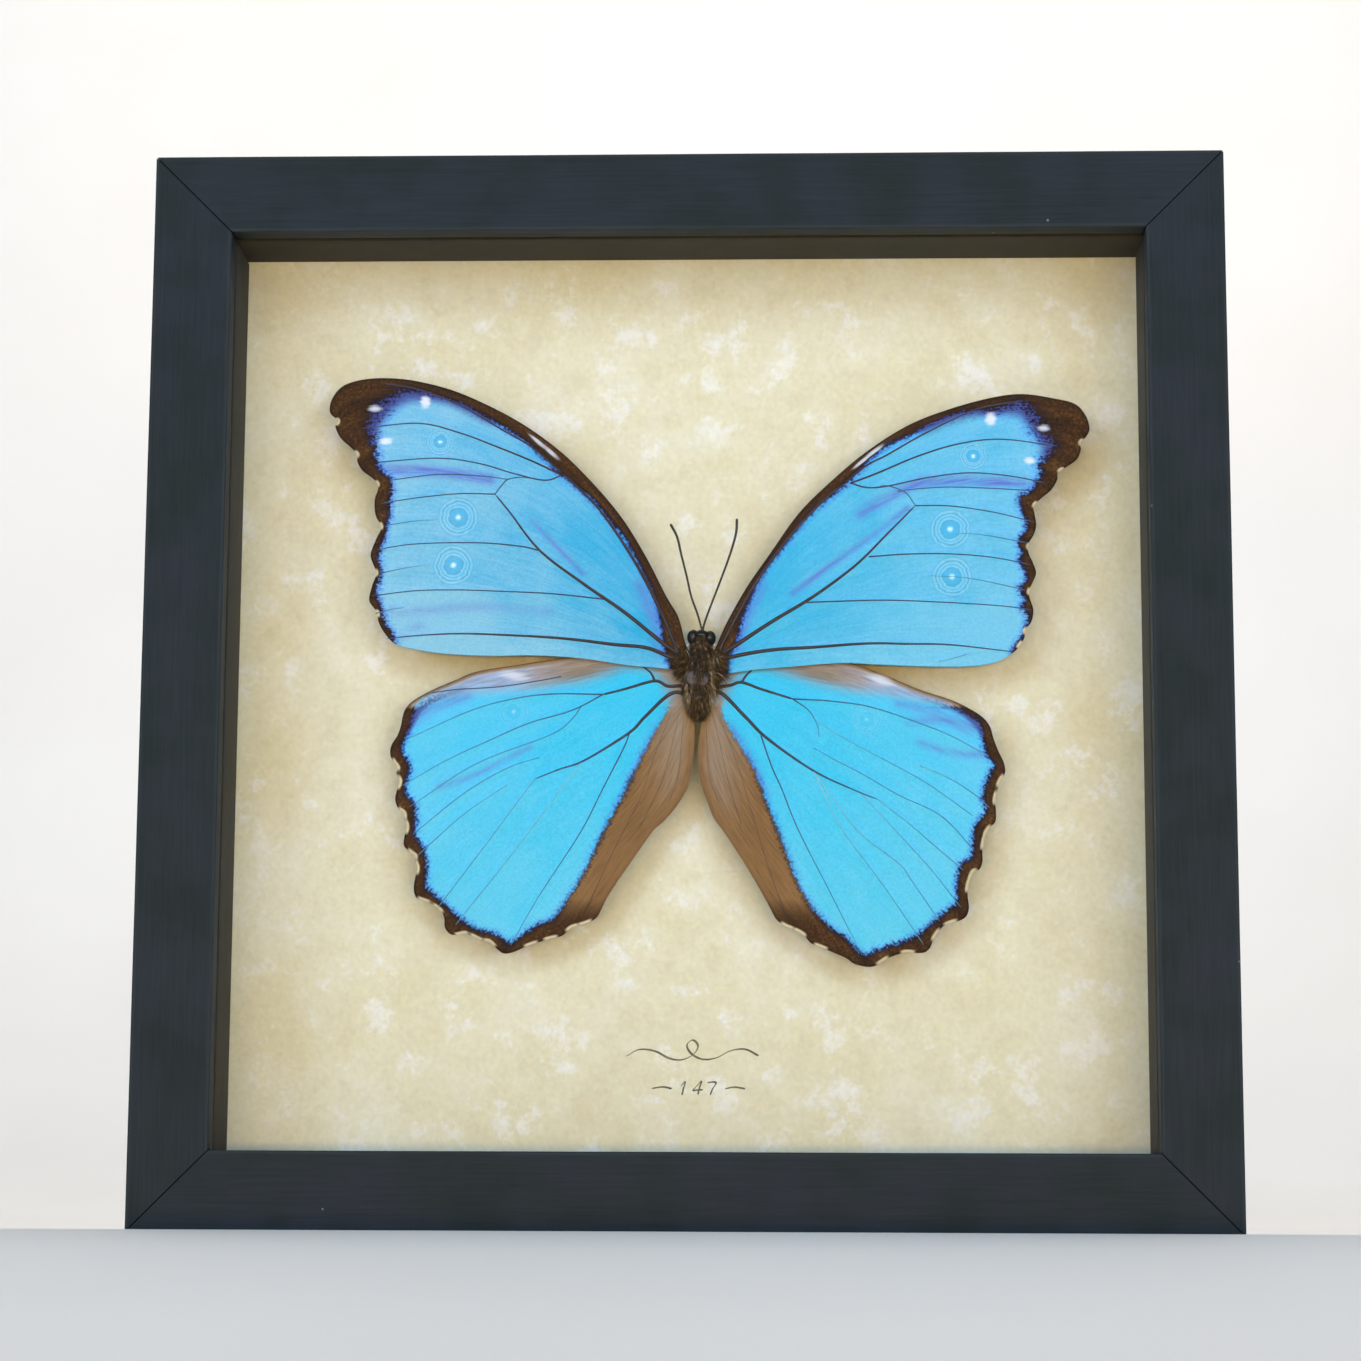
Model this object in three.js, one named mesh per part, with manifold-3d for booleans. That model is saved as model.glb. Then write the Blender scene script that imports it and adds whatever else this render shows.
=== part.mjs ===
// A blue morpho butterfly, spread and pinned in a square shadow-box frame of painted wood.
// Units are millimetres. +Z is up and the front faces -Y. The origin is under the middle of
// the box that holds the whole object. A depth is a distance behind the front face of the frame.
import * as THREE from 'three';
import { mergeVertices } from 'three/addons/utils/BufferGeometryUtils.js';
import Module from 'manifold-3d';

const wasm = await Module();
wasm.setup();

// Frame: four mitred rails with a lip in front and a rabbet behind it
const FRAME_SIDE = 203.2;
const RAIL_WIDTH = 14.9;
const RAIL_DEPTH = 30;
const LIP_DEPTH = 5;
const LIP_REACH = 5;
const ARRIS = 0.5;
const MITRE_GAP = 0.3;

// What lies in the rabbet, from front to back
const LAYER_PLAY = 0.1;
const SHEET_PLAY = 0.5;
const GLASS_THICK = 2;
const SPACER_FRONT = 7.3;
const CARD_FRONT = 21.9;
const CARD_THICK = 0.6;
const FOAM_THICK = 3;
const BACKING_THICK = 2.2;

// Flat steel points, pushed into the rails, that hold the backing in
const POINT_THICK = 0.5;
const POINT_WIDTH = 8;
const POINT_IN_WOOD = 4;
const POINT_OUT = 7;
const POINT_TAPER = 2.5;
const POINT_OFFSET = 46;
const SLOT_PLAY = 0.3;

// Sawtooth hanger on the back of the top rail
const HANGER_LENGTH = 46;
const HANGER_HEIGHT = 8;
const HANGER_THICK = 0.8;
const HANGER_LIFT = 1.2;
const HANGER_FOOT = 7.5;
const HANGER_RAMP = 2;
const TOOTH_PITCH = 3;
const TOOTH_HEIGHT = 1.6;
const NAIL_FROM_END = 3.7;
const NAIL_RADIUS = 0.7;
const NAIL_HEAD_RADIUS = 2.1;
const NAIL_HEAD_HEIGHT = 0.9;
const NAIL_LENGTH = 7;
const NAIL_PLAY = 0.3;

// Specimen
const WING_THICK = 0.35;
const WING_CELL = 6;
const WING_SPAN = 75;
const FOREWING_DEPTH = 14.8;
const FOREWING_RISE = 0.4;
const HINDWING_DEPTH = 15.6;
const HINDWING_FALL = 0.3;
const WING_ARCH = 0.35;
const WING_LEVEL = 107;
const WING_CHORD = 56;
const WING_GAP = 0.3;
const BODY_X = 2.6;
const BODY_DEPTH = 14.9;
const PIN_RADIUS = 0.3;
const PIN_HEIGHT = 104;
const PIN_FRONT = 16.4;
const PIN_END = 25;
const PIN_PLAY = 0.3;
const ANTENNA_RADIUS = 0.25;

// Worked out from the values above
const TOTAL_DEPTH = RAIL_DEPTH + HANGER_LIFT + HANGER_THICK;
const FRONT = -TOTAL_DEPTH / 2;
const HALF = FRAME_SIDE / 2;
const RABBET_WALL = RAIL_WIDTH - LIP_REACH;
const SHEET_HALF = HALF - RABBET_WALL - SHEET_PLAY;
const GLASS_FRONT = LIP_DEPTH + LAYER_PLAY;
const SPACER_BACK = CARD_FRONT - LAYER_PLAY;
const FOAM_FRONT = CARD_FRONT + CARD_THICK + LAYER_PLAY;
const BACKING_FRONT = FOAM_FRONT + FOAM_THICK + LAYER_PLAY;
const POINT_FRONT = BACKING_FRONT + BACKING_THICK + LAYER_PLAY;
const HANGER_MIDDLE = FRAME_SIDE - RABBET_WALL / 2;
const NAIL_X = HANGER_LENGTH / 2 - NAIL_FROM_END;

// Wing outlines as [x, z], seen from the front, from the root along the leading edge,
// round the scalloped outer edge and back along the trailing edge into the thorax
const LEFT_FOREWING = [
  [1.5, 108], [-0.2, 110.5], [-1.7, 116], [-4, 120], [-8.1, 128], [-13.1, 136], [-19.9, 143.9],
  [-26, 149.6], [-34, 155.1], [-44, 160], [-52, 162.3], [-58, 163], [-63, 162.7], [-66.8, 161.4],
  [-68.8, 158.8], [-69.1, 156.2], [-67.6, 154.6], [-68, 153.4], [-67, 151.2], [-65.2, 149.5],
  [-63.7, 147.9], [-63.6, 146.5], [-62.6, 144.7], [-60.3, 142.9], [-59.5, 141.2], [-60.1, 139],
  [-59.9, 136], [-58.8, 133.5], [-59.8, 131], [-60.7, 128], [-59.6, 124.7], [-60.3, 122.2],
  [-60.8, 119.3], [-59.4, 117.2], [-58.9, 115], [-57.6, 112.8], [-55.8, 111], [-53, 110.1],
  [-47, 109.1], [-38, 108.6], [-29, 108.7], [-20, 108.1], [-12, 106.9], [-6, 106.3], [0.5, 105.8],
];
const RIGHT_FOREWING = [
  [4.2, 108], [5.5, 110.4], [6.2, 112.2], [8, 116], [11.4, 122], [15.5, 128], [21.1, 136],
  [27, 142], [34, 148], [42, 153.2], [50, 156.4], [58, 158.6], [64, 159.3], [70, 158.4],
  [74, 157.3], [76, 155], [76.7, 152.5], [76.1, 150.9], [74.9, 149.6], [75, 148.3], [74.2, 146.4],
  [72.2, 144.9], [70.6, 143.8], [70.4, 142.4], [69.2, 140.4], [67.2, 138.7], [65.9, 137.2],
  [66.1, 135.6], [66.3, 133.5], [65.8, 131.7], [64.8, 130], [64.8, 128.3], [65.6, 126.4],
  [66.2, 124.4], [65.6, 122.7], [64.9, 121.1], [64.9, 119.7], [65.6, 117.3], [65.2, 115],
  [64.1, 113.5], [63.8, 111.8], [62.4, 109.7], [60, 108], [57, 106.9], [52, 106.4], [44, 106.5],
  [36, 106.85], [29, 107.15], [20, 106.5], [12, 105.8], [5, 104.8],
];
const LEFT_HINDWING = [
  [0.5, 104], [-2, 106.5], [-8, 109], [-16, 109.3], [-24, 108.3], [-32, 107.1], [-40, 105.8],
  [-44, 104.2], [-48, 102.5], [-52, 100.3], [-53.8, 98.3], [-54.5, 95.2], [-55.2, 93.2],
  [-56.2, 91.6], [-56.4, 89.8], [-55.7, 88.3], [-54.9, 87.2], [-55.2, 86.2], [-54.5, 84.9],
  [-54.9, 83.3], [-55.3, 81.3], [-54.7, 79.5], [-53.6, 78.6], [-53.5, 77.6], [-53, 76],
  [-53.4, 74.2], [-53.5, 72.5], [-52.6, 71.4], [-51.3, 70.4], [-51.4, 69.5], [-50.9, 68.3],
  [-51.2, 66.5], [-51.5, 64.3], [-51, 62.6], [-49.7, 62], [-48.2, 61.4], [-46.2, 59.9],
  [-45.6, 58.5], [-45.5, 57], [-44.6, 55.8], [-43.3, 55.5], [-41.6, 55.8], [-39.9, 55.1],
  [-38.7, 54.5], [-37.2, 54.3], [-35.8, 53.1], [-34.4, 52.1], [-32.6, 52.3], [-30, 53.4],
  [-26.1, 54.7], [-23.4, 55.4], [-21.6, 56.9], [-18.9, 57.7], [-16.9, 58.8], [-15.9, 60.6],
  [-14, 64.3], [-10, 70.1], [-6, 75.7], [-3.9, 77.6], [-2.2, 79.6], [-0.8, 81.8], [0.3, 84.3],
  [1, 87.9], [1.3, 91], [1.4, 94], [1.3, 97], [0.8, 100],
];
const RIGHT_HINDWING = [
  [3.6, 100], [2.9, 97], [2.4, 94.5], [2, 91], [1.9, 88], [2.2, 85.9], [2.7, 84], [3.8, 81],
  [5, 77.9], [6.4, 76], [8, 73.7], [11.2, 68.8], [14, 64.1], [15.9, 60.6], [16.7, 58.8],
  [18.3, 57.4], [20.4, 56.5], [22.1, 55.5], [23.4, 54.1], [25.5, 53.2], [28.2, 52.1], [30, 51.3],
  [31.4, 50.3], [33.2, 49.8], [34.6, 49.7], [35.9, 50.1], [37.6, 51.2], [39.5, 52], [41.2, 52.4],
  [42.9, 52.3], [44.6, 52.4], [45.7, 53.3], [46.2, 54.6], [47.2, 56.2], [48.2, 57.3], [49.8, 58],
  [51.3, 58.4], [52.5, 59.2], [53, 60.8], [52.8, 62.6], [52.8, 64.2], [53.2, 66], [53.9, 67.6],
  [55, 68], [55.6, 69.5], [55.6, 71.4], [56, 73.6], [56.4, 75], [57.2, 76.1], [58.1, 77],
  [58.2, 79], [58.1, 81], [58.6, 83.2], [59.1, 84.8], [60, 86.2], [59.8, 88.2], [58.8, 90.4],
  [57.9, 92.8], [57.3, 95], [56.1, 96.7], [54, 98.2], [50, 100.2], [44, 102.2], [38, 104.7],
  [30, 107.6], [20, 108.7], [12, 108.6], [7, 106.5], [4, 104],
];

// Ellipsoids that make up the body: middle x, z and depth, then half width, height and depth
const BODY_LUMPS = [
  { x: 2.6, z: 104.6, depth: BODY_DEPTH, half: [3.8, 6.9, 3.3] },
  { x: 2.2, z: 99.3, depth: BODY_DEPTH + 0.3, half: [2.5, 3.3, 2.5] },
  { x: 2.85, z: 111.5, depth: BODY_DEPTH - 0.2, half: [2, 1.8, 2.1] },
  { x: 1.45, z: 112.1, depth: BODY_DEPTH - 0.3, half: [1.35, 1.5, 1.6] },
  { x: 4.25, z: 111.9, depth: BODY_DEPTH - 0.3, half: [1.3, 1.6, 1.6] },
  { x: -0.9, z: 106.8, depth: BODY_DEPTH - 0.9, half: [1.3, 2.8, 1.4] },
  { x: 6.3, z: 106.3, depth: BODY_DEPTH - 0.9, half: [1.3, 2.8, 1.4] },
];

// Antennae as [x, z, depth], from just off the head to the tip
const LEFT_ANTENNA = [
  [2.6, 114.2, 14.1], [1.9, 116.6, 13.8], [0.7, 120, 13.6], [-0.2, 124, 13.5], [-1.2, 128, 13.6],
  [-2, 131.4, 13.8], [-3.3, 134, 14],
];
const RIGHT_ANTENNA = [
  [3.5, 114.2, 14.1], [4.1, 116.6, 13.8], [5.3, 120, 13.6], [6.7, 124, 13.5], [8.1, 128, 13.6],
  [9.2, 132, 13.8], [9.4, 135, 14],
];

const material = (color, roughness, metalness = 0) =>
  new THREE.MeshStandardMaterial({ color, roughness, metalness });
const FINISH = {
  paint: material(0x343c41, 0.55),
  glass: material(0xdfe8e6, 0.05),
  spacer: material(0x33322a, 0.8),
  card: material(0xe4dab9, 0.9),
  foam: material(0xefefeb, 0.9),
  hardboard: material(0x7a5636, 0.75),
  steel: material(0xb9bcbd, 0.35, 1),
  brassed: material(0xb08d4a, 0.35, 1),
  body: material(0x2b2114, 0.9),
  wing: material(0x4fb4e8, 0.45),
};
FINISH.glass.transparent = true;
FINISH.glass.opacity = 0.15;

// A closed geometry as a solid that can be joined and cut, and back again
function solidOf(geometry) {
  const flat = geometry.index ? geometry.toNonIndexed() : geometry;
  const bare = new THREE.BufferGeometry();
  bare.setAttribute('position', flat.getAttribute('position'));
  const merged = mergeVertices(bare, 1e-4);
  return new wasm.Manifold(new wasm.Mesh({
    numProp: 3,
    vertProperties: merged.attributes.position.array,
    triVerts: new Uint32Array(merged.index.array),
  }));
}

function geometryOf(solid) {
  const mesh = solid.getMesh();
  const geometry = new THREE.BufferGeometry();
  geometry.setAttribute('position', new THREE.BufferAttribute(mesh.vertProperties, 3));
  geometry.setIndex(new THREE.BufferAttribute(mesh.triVerts, 1));
  geometry.computeVertexNormals();
  return geometry;
}

// Simple forms: a block, an outline in the X-Z plane run through a depth, and a rod along the depth
function block(x, z, depth) {
  const geometry = new THREE.BoxGeometry(x[1] - x[0], depth[1] - depth[0], z[1] - z[0]);
  return geometry.translate((x[0] + x[1]) / 2, FRONT + (depth[0] + depth[1]) / 2, (z[0] + z[1]) / 2);
}

function prism(points, depth) {
  const shape = new THREE.Shape(points.map(([x, z]) => new THREE.Vector2(x, z)));
  const geometry = new THREE.ExtrudeGeometry(shape, { depth: depth[1] - depth[0], bevelEnabled: false });
  return geometry.rotateX(Math.PI / 2).translate(0, FRONT + depth[1], 0);
}

function rod(x, z, radius, depth) {
  const geometry = new THREE.CylinderGeometry(radius, radius, depth[1] - depth[0], 16);
  return geometry.translate(x, FRONT + (depth[0] + depth[1]) / 2, z);
}

// One rail, as the bottom one, about the middle of the frame: an L-shaped section run along X,
// cut to its mitres, with a slot for each framing point
function railSolid() {
  const section = new THREE.Shape([
    [0, ARRIS], [ARRIS, 0], [RAIL_DEPTH - ARRIS, 0], [RAIL_DEPTH, ARRIS],
    [RAIL_DEPTH, RABBET_WALL], [LIP_DEPTH, RABBET_WALL], [LIP_DEPTH, RAIL_WIDTH],
    [ARRIS, RAIL_WIDTH], [0, RAIL_WIDTH - ARRIS],
  ].map(([depth, width]) => new THREE.Vector2(FRONT + depth, width - HALF)));
  const run = new THREE.ExtrudeGeometry(section, { depth: FRAME_SIDE, bevelEnabled: false });
  const alongX = new THREE.Matrix4().makeBasis(
    new THREE.Vector3(0, 1, 0), new THREE.Vector3(0, 0, 1), new THREE.Vector3(1, 0, 0));
  run.applyMatrix4(alongX).translate(-HALF, 0, 0);
  const end = HALF - MITRE_GAP / Math.SQRT2;
  const inner = end - RAIL_WIDTH;
  const mitred = prism(
    [[-end, -HALF], [end, -HALF], [inner, RAIL_WIDTH - HALF], [-inner, RAIL_WIDTH - HALF]],
    [-1, RAIL_DEPTH + 1]);
  let rail = solidOf(run).intersect(solidOf(mitred));
  for (const x of [-POINT_OFFSET, POINT_OFFSET]) {
    const half = POINT_WIDTH / 2 + SLOT_PLAY;
    const wall = RABBET_WALL - HALF;
    rail = rail.subtract(solidOf(block(
      [x - half, x + half],
      [wall - POINT_IN_WOOD - SLOT_PLAY, wall + 1],
      [POINT_FRONT - SLOT_PLAY, POINT_FRONT + POINT_THICK + SLOT_PLAY])));
  }
  return rail;
}

function framingPoint(x) {
  const wall = RABBET_WALL - HALF;
  const half = POINT_WIDTH / 2;
  return prism([
    [x - half, wall - POINT_IN_WOOD], [x + half, wall - POINT_IN_WOOD],
    [x + half, wall + POINT_OUT - POINT_TAPER], [x + half - POINT_TAPER, wall + POINT_OUT],
    [x - half + POINT_TAPER, wall + POINT_OUT], [x - half, wall + POINT_OUT - POINT_TAPER],
  ], [POINT_FRONT, POINT_FRONT + POINT_THICK]);
}

// The bores for the hanger's nails, in the top rail
function nailBores() {
  const bore = x => solidOf(rod(x, RABBET_WALL / 2 - HALF, NAIL_RADIUS + NAIL_PLAY,
    [RAIL_DEPTH - NAIL_LENGTH - NAIL_PLAY, RAIL_DEPTH + 1]));
  return bore(-NAIL_X).add(bore(NAIL_X));
}

// A bent strip, feet flat on the wood and middle raised, whose lower edge is cut in teeth
function hangerGeometry() {
  const half = HANGER_LENGTH / 2;
  const foot = half - HANGER_FOOT;
  const raised = foot - HANGER_RAMP;
  const low = HANGER_MIDDLE - HANGER_HEIGHT / 2;
  const high = HANGER_MIDDLE + HANGER_HEIGHT / 2;
  const side = [
    [-half, 0], [-foot, 0], [-raised, HANGER_LIFT], [raised, HANGER_LIFT], [foot, 0], [half, 0]];
  const skin = side.map(([x, lift]) => [x, lift + HANGER_THICK]).reverse();
  const bent = new THREE.ExtrudeGeometry(
    new THREE.Shape([...side, ...skin].map(([x, lift]) => new THREE.Vector2(x, -lift))),
    { depth: HANGER_HEIGHT, bevelEnabled: false });
  bent.rotateX(Math.PI).translate(0, FRONT + RAIL_DEPTH, high);
  const teeth = [];
  const count = Math.floor(2 * raised / TOOTH_PITCH);
  for (let i = 0; i < count; i += 1) {
    const x = (i - count / 2) * TOOTH_PITCH;
    teeth.push([x, low], [x + TOOTH_PITCH / 2, low + TOOTH_HEIGHT]);
  }
  const outline = [[-half, low], ...teeth, [count / 2 * TOOTH_PITCH, low], [half, low], [half, high], [-half, high]];
  const behind = [RAIL_DEPTH - 1, TOTAL_DEPTH + 1];
  const hole = x => solidOf(rod(x, HANGER_MIDDLE, NAIL_RADIUS + NAIL_PLAY, behind));
  return geometryOf(solidOf(bent).intersect(solidOf(prism(outline, behind)))
    .subtract(hole(-NAIL_X)).subtract(hole(NAIL_X)));
}

// A nail as a turned profile: shank, then a domed head that holds the hanger's foot
function nailGeometry() {
  const under = HANGER_THICK + LAYER_PLAY;
  const dome = [];
  for (let i = 0; i <= 6; i += 1) {
    const turn = i / 6 * Math.PI / 2;
    dome.push(new THREE.Vector2(
      i === 6 ? 0 : NAIL_HEAD_RADIUS * Math.cos(turn), under + NAIL_HEAD_HEIGHT * Math.sin(turn)));
  }
  const profile = [
    new THREE.Vector2(0, -NAIL_LENGTH), new THREE.Vector2(NAIL_RADIUS, 1 - NAIL_LENGTH),
    new THREE.Vector2(NAIL_RADIUS, under), ...dome];
  return new THREE.LatheGeometry(profile, 16);
}

// The body as joined ellipsoids, optionally swollen by a margin to cut the wings back to it
function bodySolid(margin = 0) {
  return BODY_LUMPS
    .map(({ x, z, depth, half: [wide, high, deep] }) => solidOf(new THREE.SphereGeometry(1, 14, 10)
      .scale(wide + margin, deep + margin, high + margin)
      .translate(x, FRONT + depth, z)))
    .reduce((joined, lump) => joined.add(lump));
}

// How far behind the front face a wing lies: each is arched towards the viewer over its chord,
// forewing tips rise a little and hindwing tips fall a little
const spanOf = x => (x - BODY_X) / WING_SPAN;
const archOf = share => WING_ARCH * Math.sin(Math.PI * THREE.MathUtils.clamp(share, 0, 1));
const forewingDepth = (x, z) =>
  FOREWING_DEPTH - FOREWING_RISE * spanOf(x) ** 2 - archOf((z - WING_LEVEL) / WING_CHORD);
const hindwingDepth = (x, z) =>
  HINDWING_DEPTH + HINDWING_FALL * spanOf(x) ** 2 - archOf((WING_LEVEL - z) / WING_CHORD);

// A wing: a thin arched slab trimmed to a smooth outline and cut back from the body
function wingGeometry(points, depthAt) {
  const outline = new THREE.SplineCurve(points.map(([x, z]) => new THREE.Vector2(x, z)))
    .getPoints(2 * (points.length - 1)).map(({ x, y }) => [x, y]);
  const span = new THREE.Box2().setFromPoints(outline.map(([x, z]) => new THREE.Vector2(x, z)));
  const size = span.getSize(new THREE.Vector2()).addScalar(2);
  const middle = span.getCenter(new THREE.Vector2());
  const slab = new THREE.BoxGeometry(size.x, WING_THICK, size.y,
    Math.ceil(size.x / WING_CELL), 1, Math.ceil(size.y / WING_CELL)).translate(middle.x, 0, middle.y);
  const place = slab.getAttribute('position');
  for (let i = 0; i < place.count; i += 1) {
    const depth = depthAt(place.getX(i), place.getZ(i)) + WING_THICK / 2;
    place.setY(i, place.getY(i) + FRONT + depth);
  }
  const trimmed = solidOf(slab).intersect(solidOf(prism(outline, [LIP_DEPTH, CARD_FRONT])));
  return geometryOf(trimmed.subtract(bodySolid(WING_GAP)));
}

function antennaGeometry(points) {
  const path = new THREE.CatmullRomCurve3(
    points.map(([x, z, depth]) => new THREE.Vector3(x, FRONT + depth, z)));
  const section = new THREE.Shape().absarc(0, 0, ANTENNA_RADIUS, 0, 2 * Math.PI);
  return new THREE.ExtrudeGeometry(section, { steps: 16, curveSegments: 8, extrudePath: path });
}

const part = new THREE.Group();

function addPiece(name, geometry, finish, parent = part) {
  const mesh = new THREE.Mesh(geometry, finish);
  mesh.name = name;
  parent.add(mesh);
  return mesh;
}

// Rails and framing points, made once as the bottom ones and turned round the frame's middle
const rail = railSolid();
const SIDES = { bottom: 0, left: Math.PI / 2, top: Math.PI, right: -Math.PI / 2 };
for (const [side, turn] of Object.entries(SIDES)) {
  const edge = new THREE.Group();
  edge.rotation.y = turn;
  edge.position.z = HALF;
  part.add(edge);
  const wood = side === 'top' ? rail.subtract(nailBores()) : rail;
  addPiece(`frame_${side}`, geometryOf(wood), FINISH.paint, edge);
  addPiece(`framing_point_${side}_1`, framingPoint(-POINT_OFFSET), FINISH.steel, edge);
  addPiece(`framing_point_${side}_2`, framingPoint(POINT_OFFSET), FINISH.steel, edge);
}

// Spacers: long ones above and below, short ones fitted between them
const spacerDepth = [SPACER_FRONT, SPACER_BACK];
const outer = HALF - RABBET_WALL - LAYER_PLAY;
const sight = HALF - RAIL_WIDTH;
const between = [HALF - sight + LAYER_PLAY, HALF + sight - LAYER_PLAY];
addPiece('spacer_bottom', block([-outer, outer], [HALF - outer, HALF - sight], spacerDepth), FINISH.spacer);
addPiece('spacer_top', block([-outer, outer], [HALF + sight, HALF + outer], spacerDepth), FINISH.spacer);
addPiece('spacer_left', block([-outer, -sight], between, spacerDepth), FINISH.spacer);
addPiece('spacer_right', block([sight, outer], between, spacerDepth), FINISH.spacer);

// Sheets across the opening, from front to back
const sheet = (front, thick) => block(
  [-SHEET_HALF, SHEET_HALF], [HALF - SHEET_HALF, HALF + SHEET_HALF], [front, front + thick]);
const pinHole = depth => solidOf(rod(BODY_X, PIN_HEIGHT, PIN_RADIUS + PIN_PLAY, depth));
addPiece('glass', sheet(GLASS_FRONT, GLASS_THICK), FINISH.glass);
addPiece('parchment_card', geometryOf(solidOf(sheet(CARD_FRONT, CARD_THICK))
  .subtract(pinHole([CARD_FRONT - 1, FOAM_FRONT]))), FINISH.card);
addPiece('foam_board', geometryOf(solidOf(sheet(FOAM_FRONT, FOAM_THICK))
  .subtract(pinHole([CARD_FRONT, PIN_END + PIN_PLAY]))), FINISH.foam);
addPiece('backing_board', sheet(BACKING_FRONT, BACKING_THICK), FINISH.hardboard);

// Hanger and its nails
addPiece('hanger', hangerGeometry(), FINISH.brassed);
for (const [side, x] of [['left', -NAIL_X], ['right', NAIL_X]]) {
  addPiece(`hanger_nail_${side}`, nailGeometry(), FINISH.brassed)
    .position.set(x, FRONT + RAIL_DEPTH, HANGER_MIDDLE);
}

// Specimen
addPiece('body', geometryOf(bodySolid().subtract(pinHole([PIN_FRONT - PIN_PLAY, CARD_FRONT]))), FINISH.body);
addPiece('forewing_left', wingGeometry(LEFT_FOREWING, forewingDepth), FINISH.wing);
addPiece('forewing_right', wingGeometry(RIGHT_FOREWING, forewingDepth), FINISH.wing);
addPiece('hindwing_left', wingGeometry(LEFT_HINDWING, hindwingDepth), FINISH.wing);
addPiece('hindwing_right', wingGeometry(RIGHT_HINDWING, hindwingDepth), FINISH.wing);
addPiece('antenna_left', antennaGeometry(LEFT_ANTENNA), FINISH.body);
addPiece('antenna_right', antennaGeometry(RIGHT_ANTENNA), FINISH.body);
addPiece('mounting_pin', rod(BODY_X, PIN_HEIGHT, PIN_RADIUS, [PIN_FRONT, PIN_END]), FINISH.steel);

export default part;
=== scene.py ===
# %% [markdown]
# # A blue morpho in a shadow-box frame
#
# The real object is a deep square frame of painted wood. A large blue butterfly is pinned inside it, in
# front of a mottled parchment card and behind a sheet of glass. The solid model fixes every size and
# place. This lesson gives each piece its look: it reads the solid model, works out finer surfaces with
# numpy where a plain solid is too simple, and makes one procedural finish for each material.
#
# All lengths below are in millimetres, and `MM` turns them into Blender's metres. X runs to the right,
# Z up, and Y into the depth of the frame, so the front faces -Y.

import bmesh
import bpy
import numpy as np
from mathutils import Matrix, Vector


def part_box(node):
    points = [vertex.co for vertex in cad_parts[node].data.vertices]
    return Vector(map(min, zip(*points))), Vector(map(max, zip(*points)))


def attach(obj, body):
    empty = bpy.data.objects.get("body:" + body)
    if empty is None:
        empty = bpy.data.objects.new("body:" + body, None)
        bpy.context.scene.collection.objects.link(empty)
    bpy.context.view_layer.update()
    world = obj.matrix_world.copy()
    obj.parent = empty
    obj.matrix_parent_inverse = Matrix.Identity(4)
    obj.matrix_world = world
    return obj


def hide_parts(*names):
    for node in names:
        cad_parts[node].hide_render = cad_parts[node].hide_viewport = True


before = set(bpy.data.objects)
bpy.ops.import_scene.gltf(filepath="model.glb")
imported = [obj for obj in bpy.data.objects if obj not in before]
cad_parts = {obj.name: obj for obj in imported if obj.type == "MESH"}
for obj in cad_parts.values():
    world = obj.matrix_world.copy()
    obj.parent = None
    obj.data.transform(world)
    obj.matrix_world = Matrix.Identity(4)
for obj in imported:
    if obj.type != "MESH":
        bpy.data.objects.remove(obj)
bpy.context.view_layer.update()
MM = 0.001


def corners_of(node):
    """The lowest and highest corner of a solid, in millimetres."""
    low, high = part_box(node)
    return np.array(low) / MM, np.array(high) / MM


rail_low, rail_high = corners_of("frame_bottom")
CARD_FRONT = corners_of("parchment_card")[0][1]
FRONT = rail_low[1]
RAIL_DEPTH = rail_high[1] - FRONT
RAIL_WIDTH = rail_high[2]
SIDE = corners_of("frame_top")[1][2]
HALF = SIDE / 2
LIP_DEPTH = 5
RABBET_WALL = 9.9
print(f"frame {SIDE:.1f} mm square, rails {RAIL_WIDTH:.1f} wide and {RAIL_DEPTH:.1f} deep")

# %% [markdown]
# ## The camera
#
# The lens stands level with the foot of the frame, about 64 cm in front of it, and is tilted up. Its place
# and its three turns were solved from the perspective of the square frame.

# %% Place the camera
CAMERA_PLACE = (22.6, -643.8, 0.4)
CAMERA_TURNS = {"left": 2.13, "up": 9.15, "roll": 0.27}
LENS = 90.7
SENSOR = 36

camera = bpy.data.objects.new("camera", bpy.data.cameras.new("camera"))
camera.data.lens = LENS
camera.data.sensor_width = SENSOR
camera.matrix_world = (
    Matrix.Translation(Vector(CAMERA_PLACE) * MM)
    @ Matrix.Rotation(np.radians(CAMERA_TURNS["left"]), 4, "Z")
    @ Matrix.Rotation(np.radians(90 + CAMERA_TURNS["up"]), 4, "X")
    @ Matrix.Rotation(np.radians(CAMERA_TURNS["roll"]), 4, "Z")
)
bpy.context.scene.collection.objects.link(camera)
bpy.context.scene.camera = camera
bpy.context.scene.view_settings.view_transform = "Standard"
print(f"camera {-CAMERA_PLACE[1] / 10:.0f} cm in front of the frame")

# %% [markdown]
# ## Helpers for finishes
#
# Shaders count in linear light, while a given colour is an sRGB hex value, so `colour` turns one
# into the other. `add` adds any node with its settings, its inputs and, for a colour ramp, its stops. An
# input is a number, a colour, or the node or socket that feeds it. Every finish starts with
# `blank_material` and ends with `finish`, and `clouded` is a whole finish for plain things: one noise that
# runs through a colour ramp.


# %% Colours and nodes
def colour(code, alpha=1.0):
    """An sRGB hex value as linear red, green, blue and alpha."""
    channels = [int(code[i:i + 2], 16) / 255 for i in (1, 3, 5)]
    return [c / 12.92 if c <= 0.04045 else ((c + 0.055) / 1.055) ** 2.4 for c in channels] + [alpha]


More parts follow.
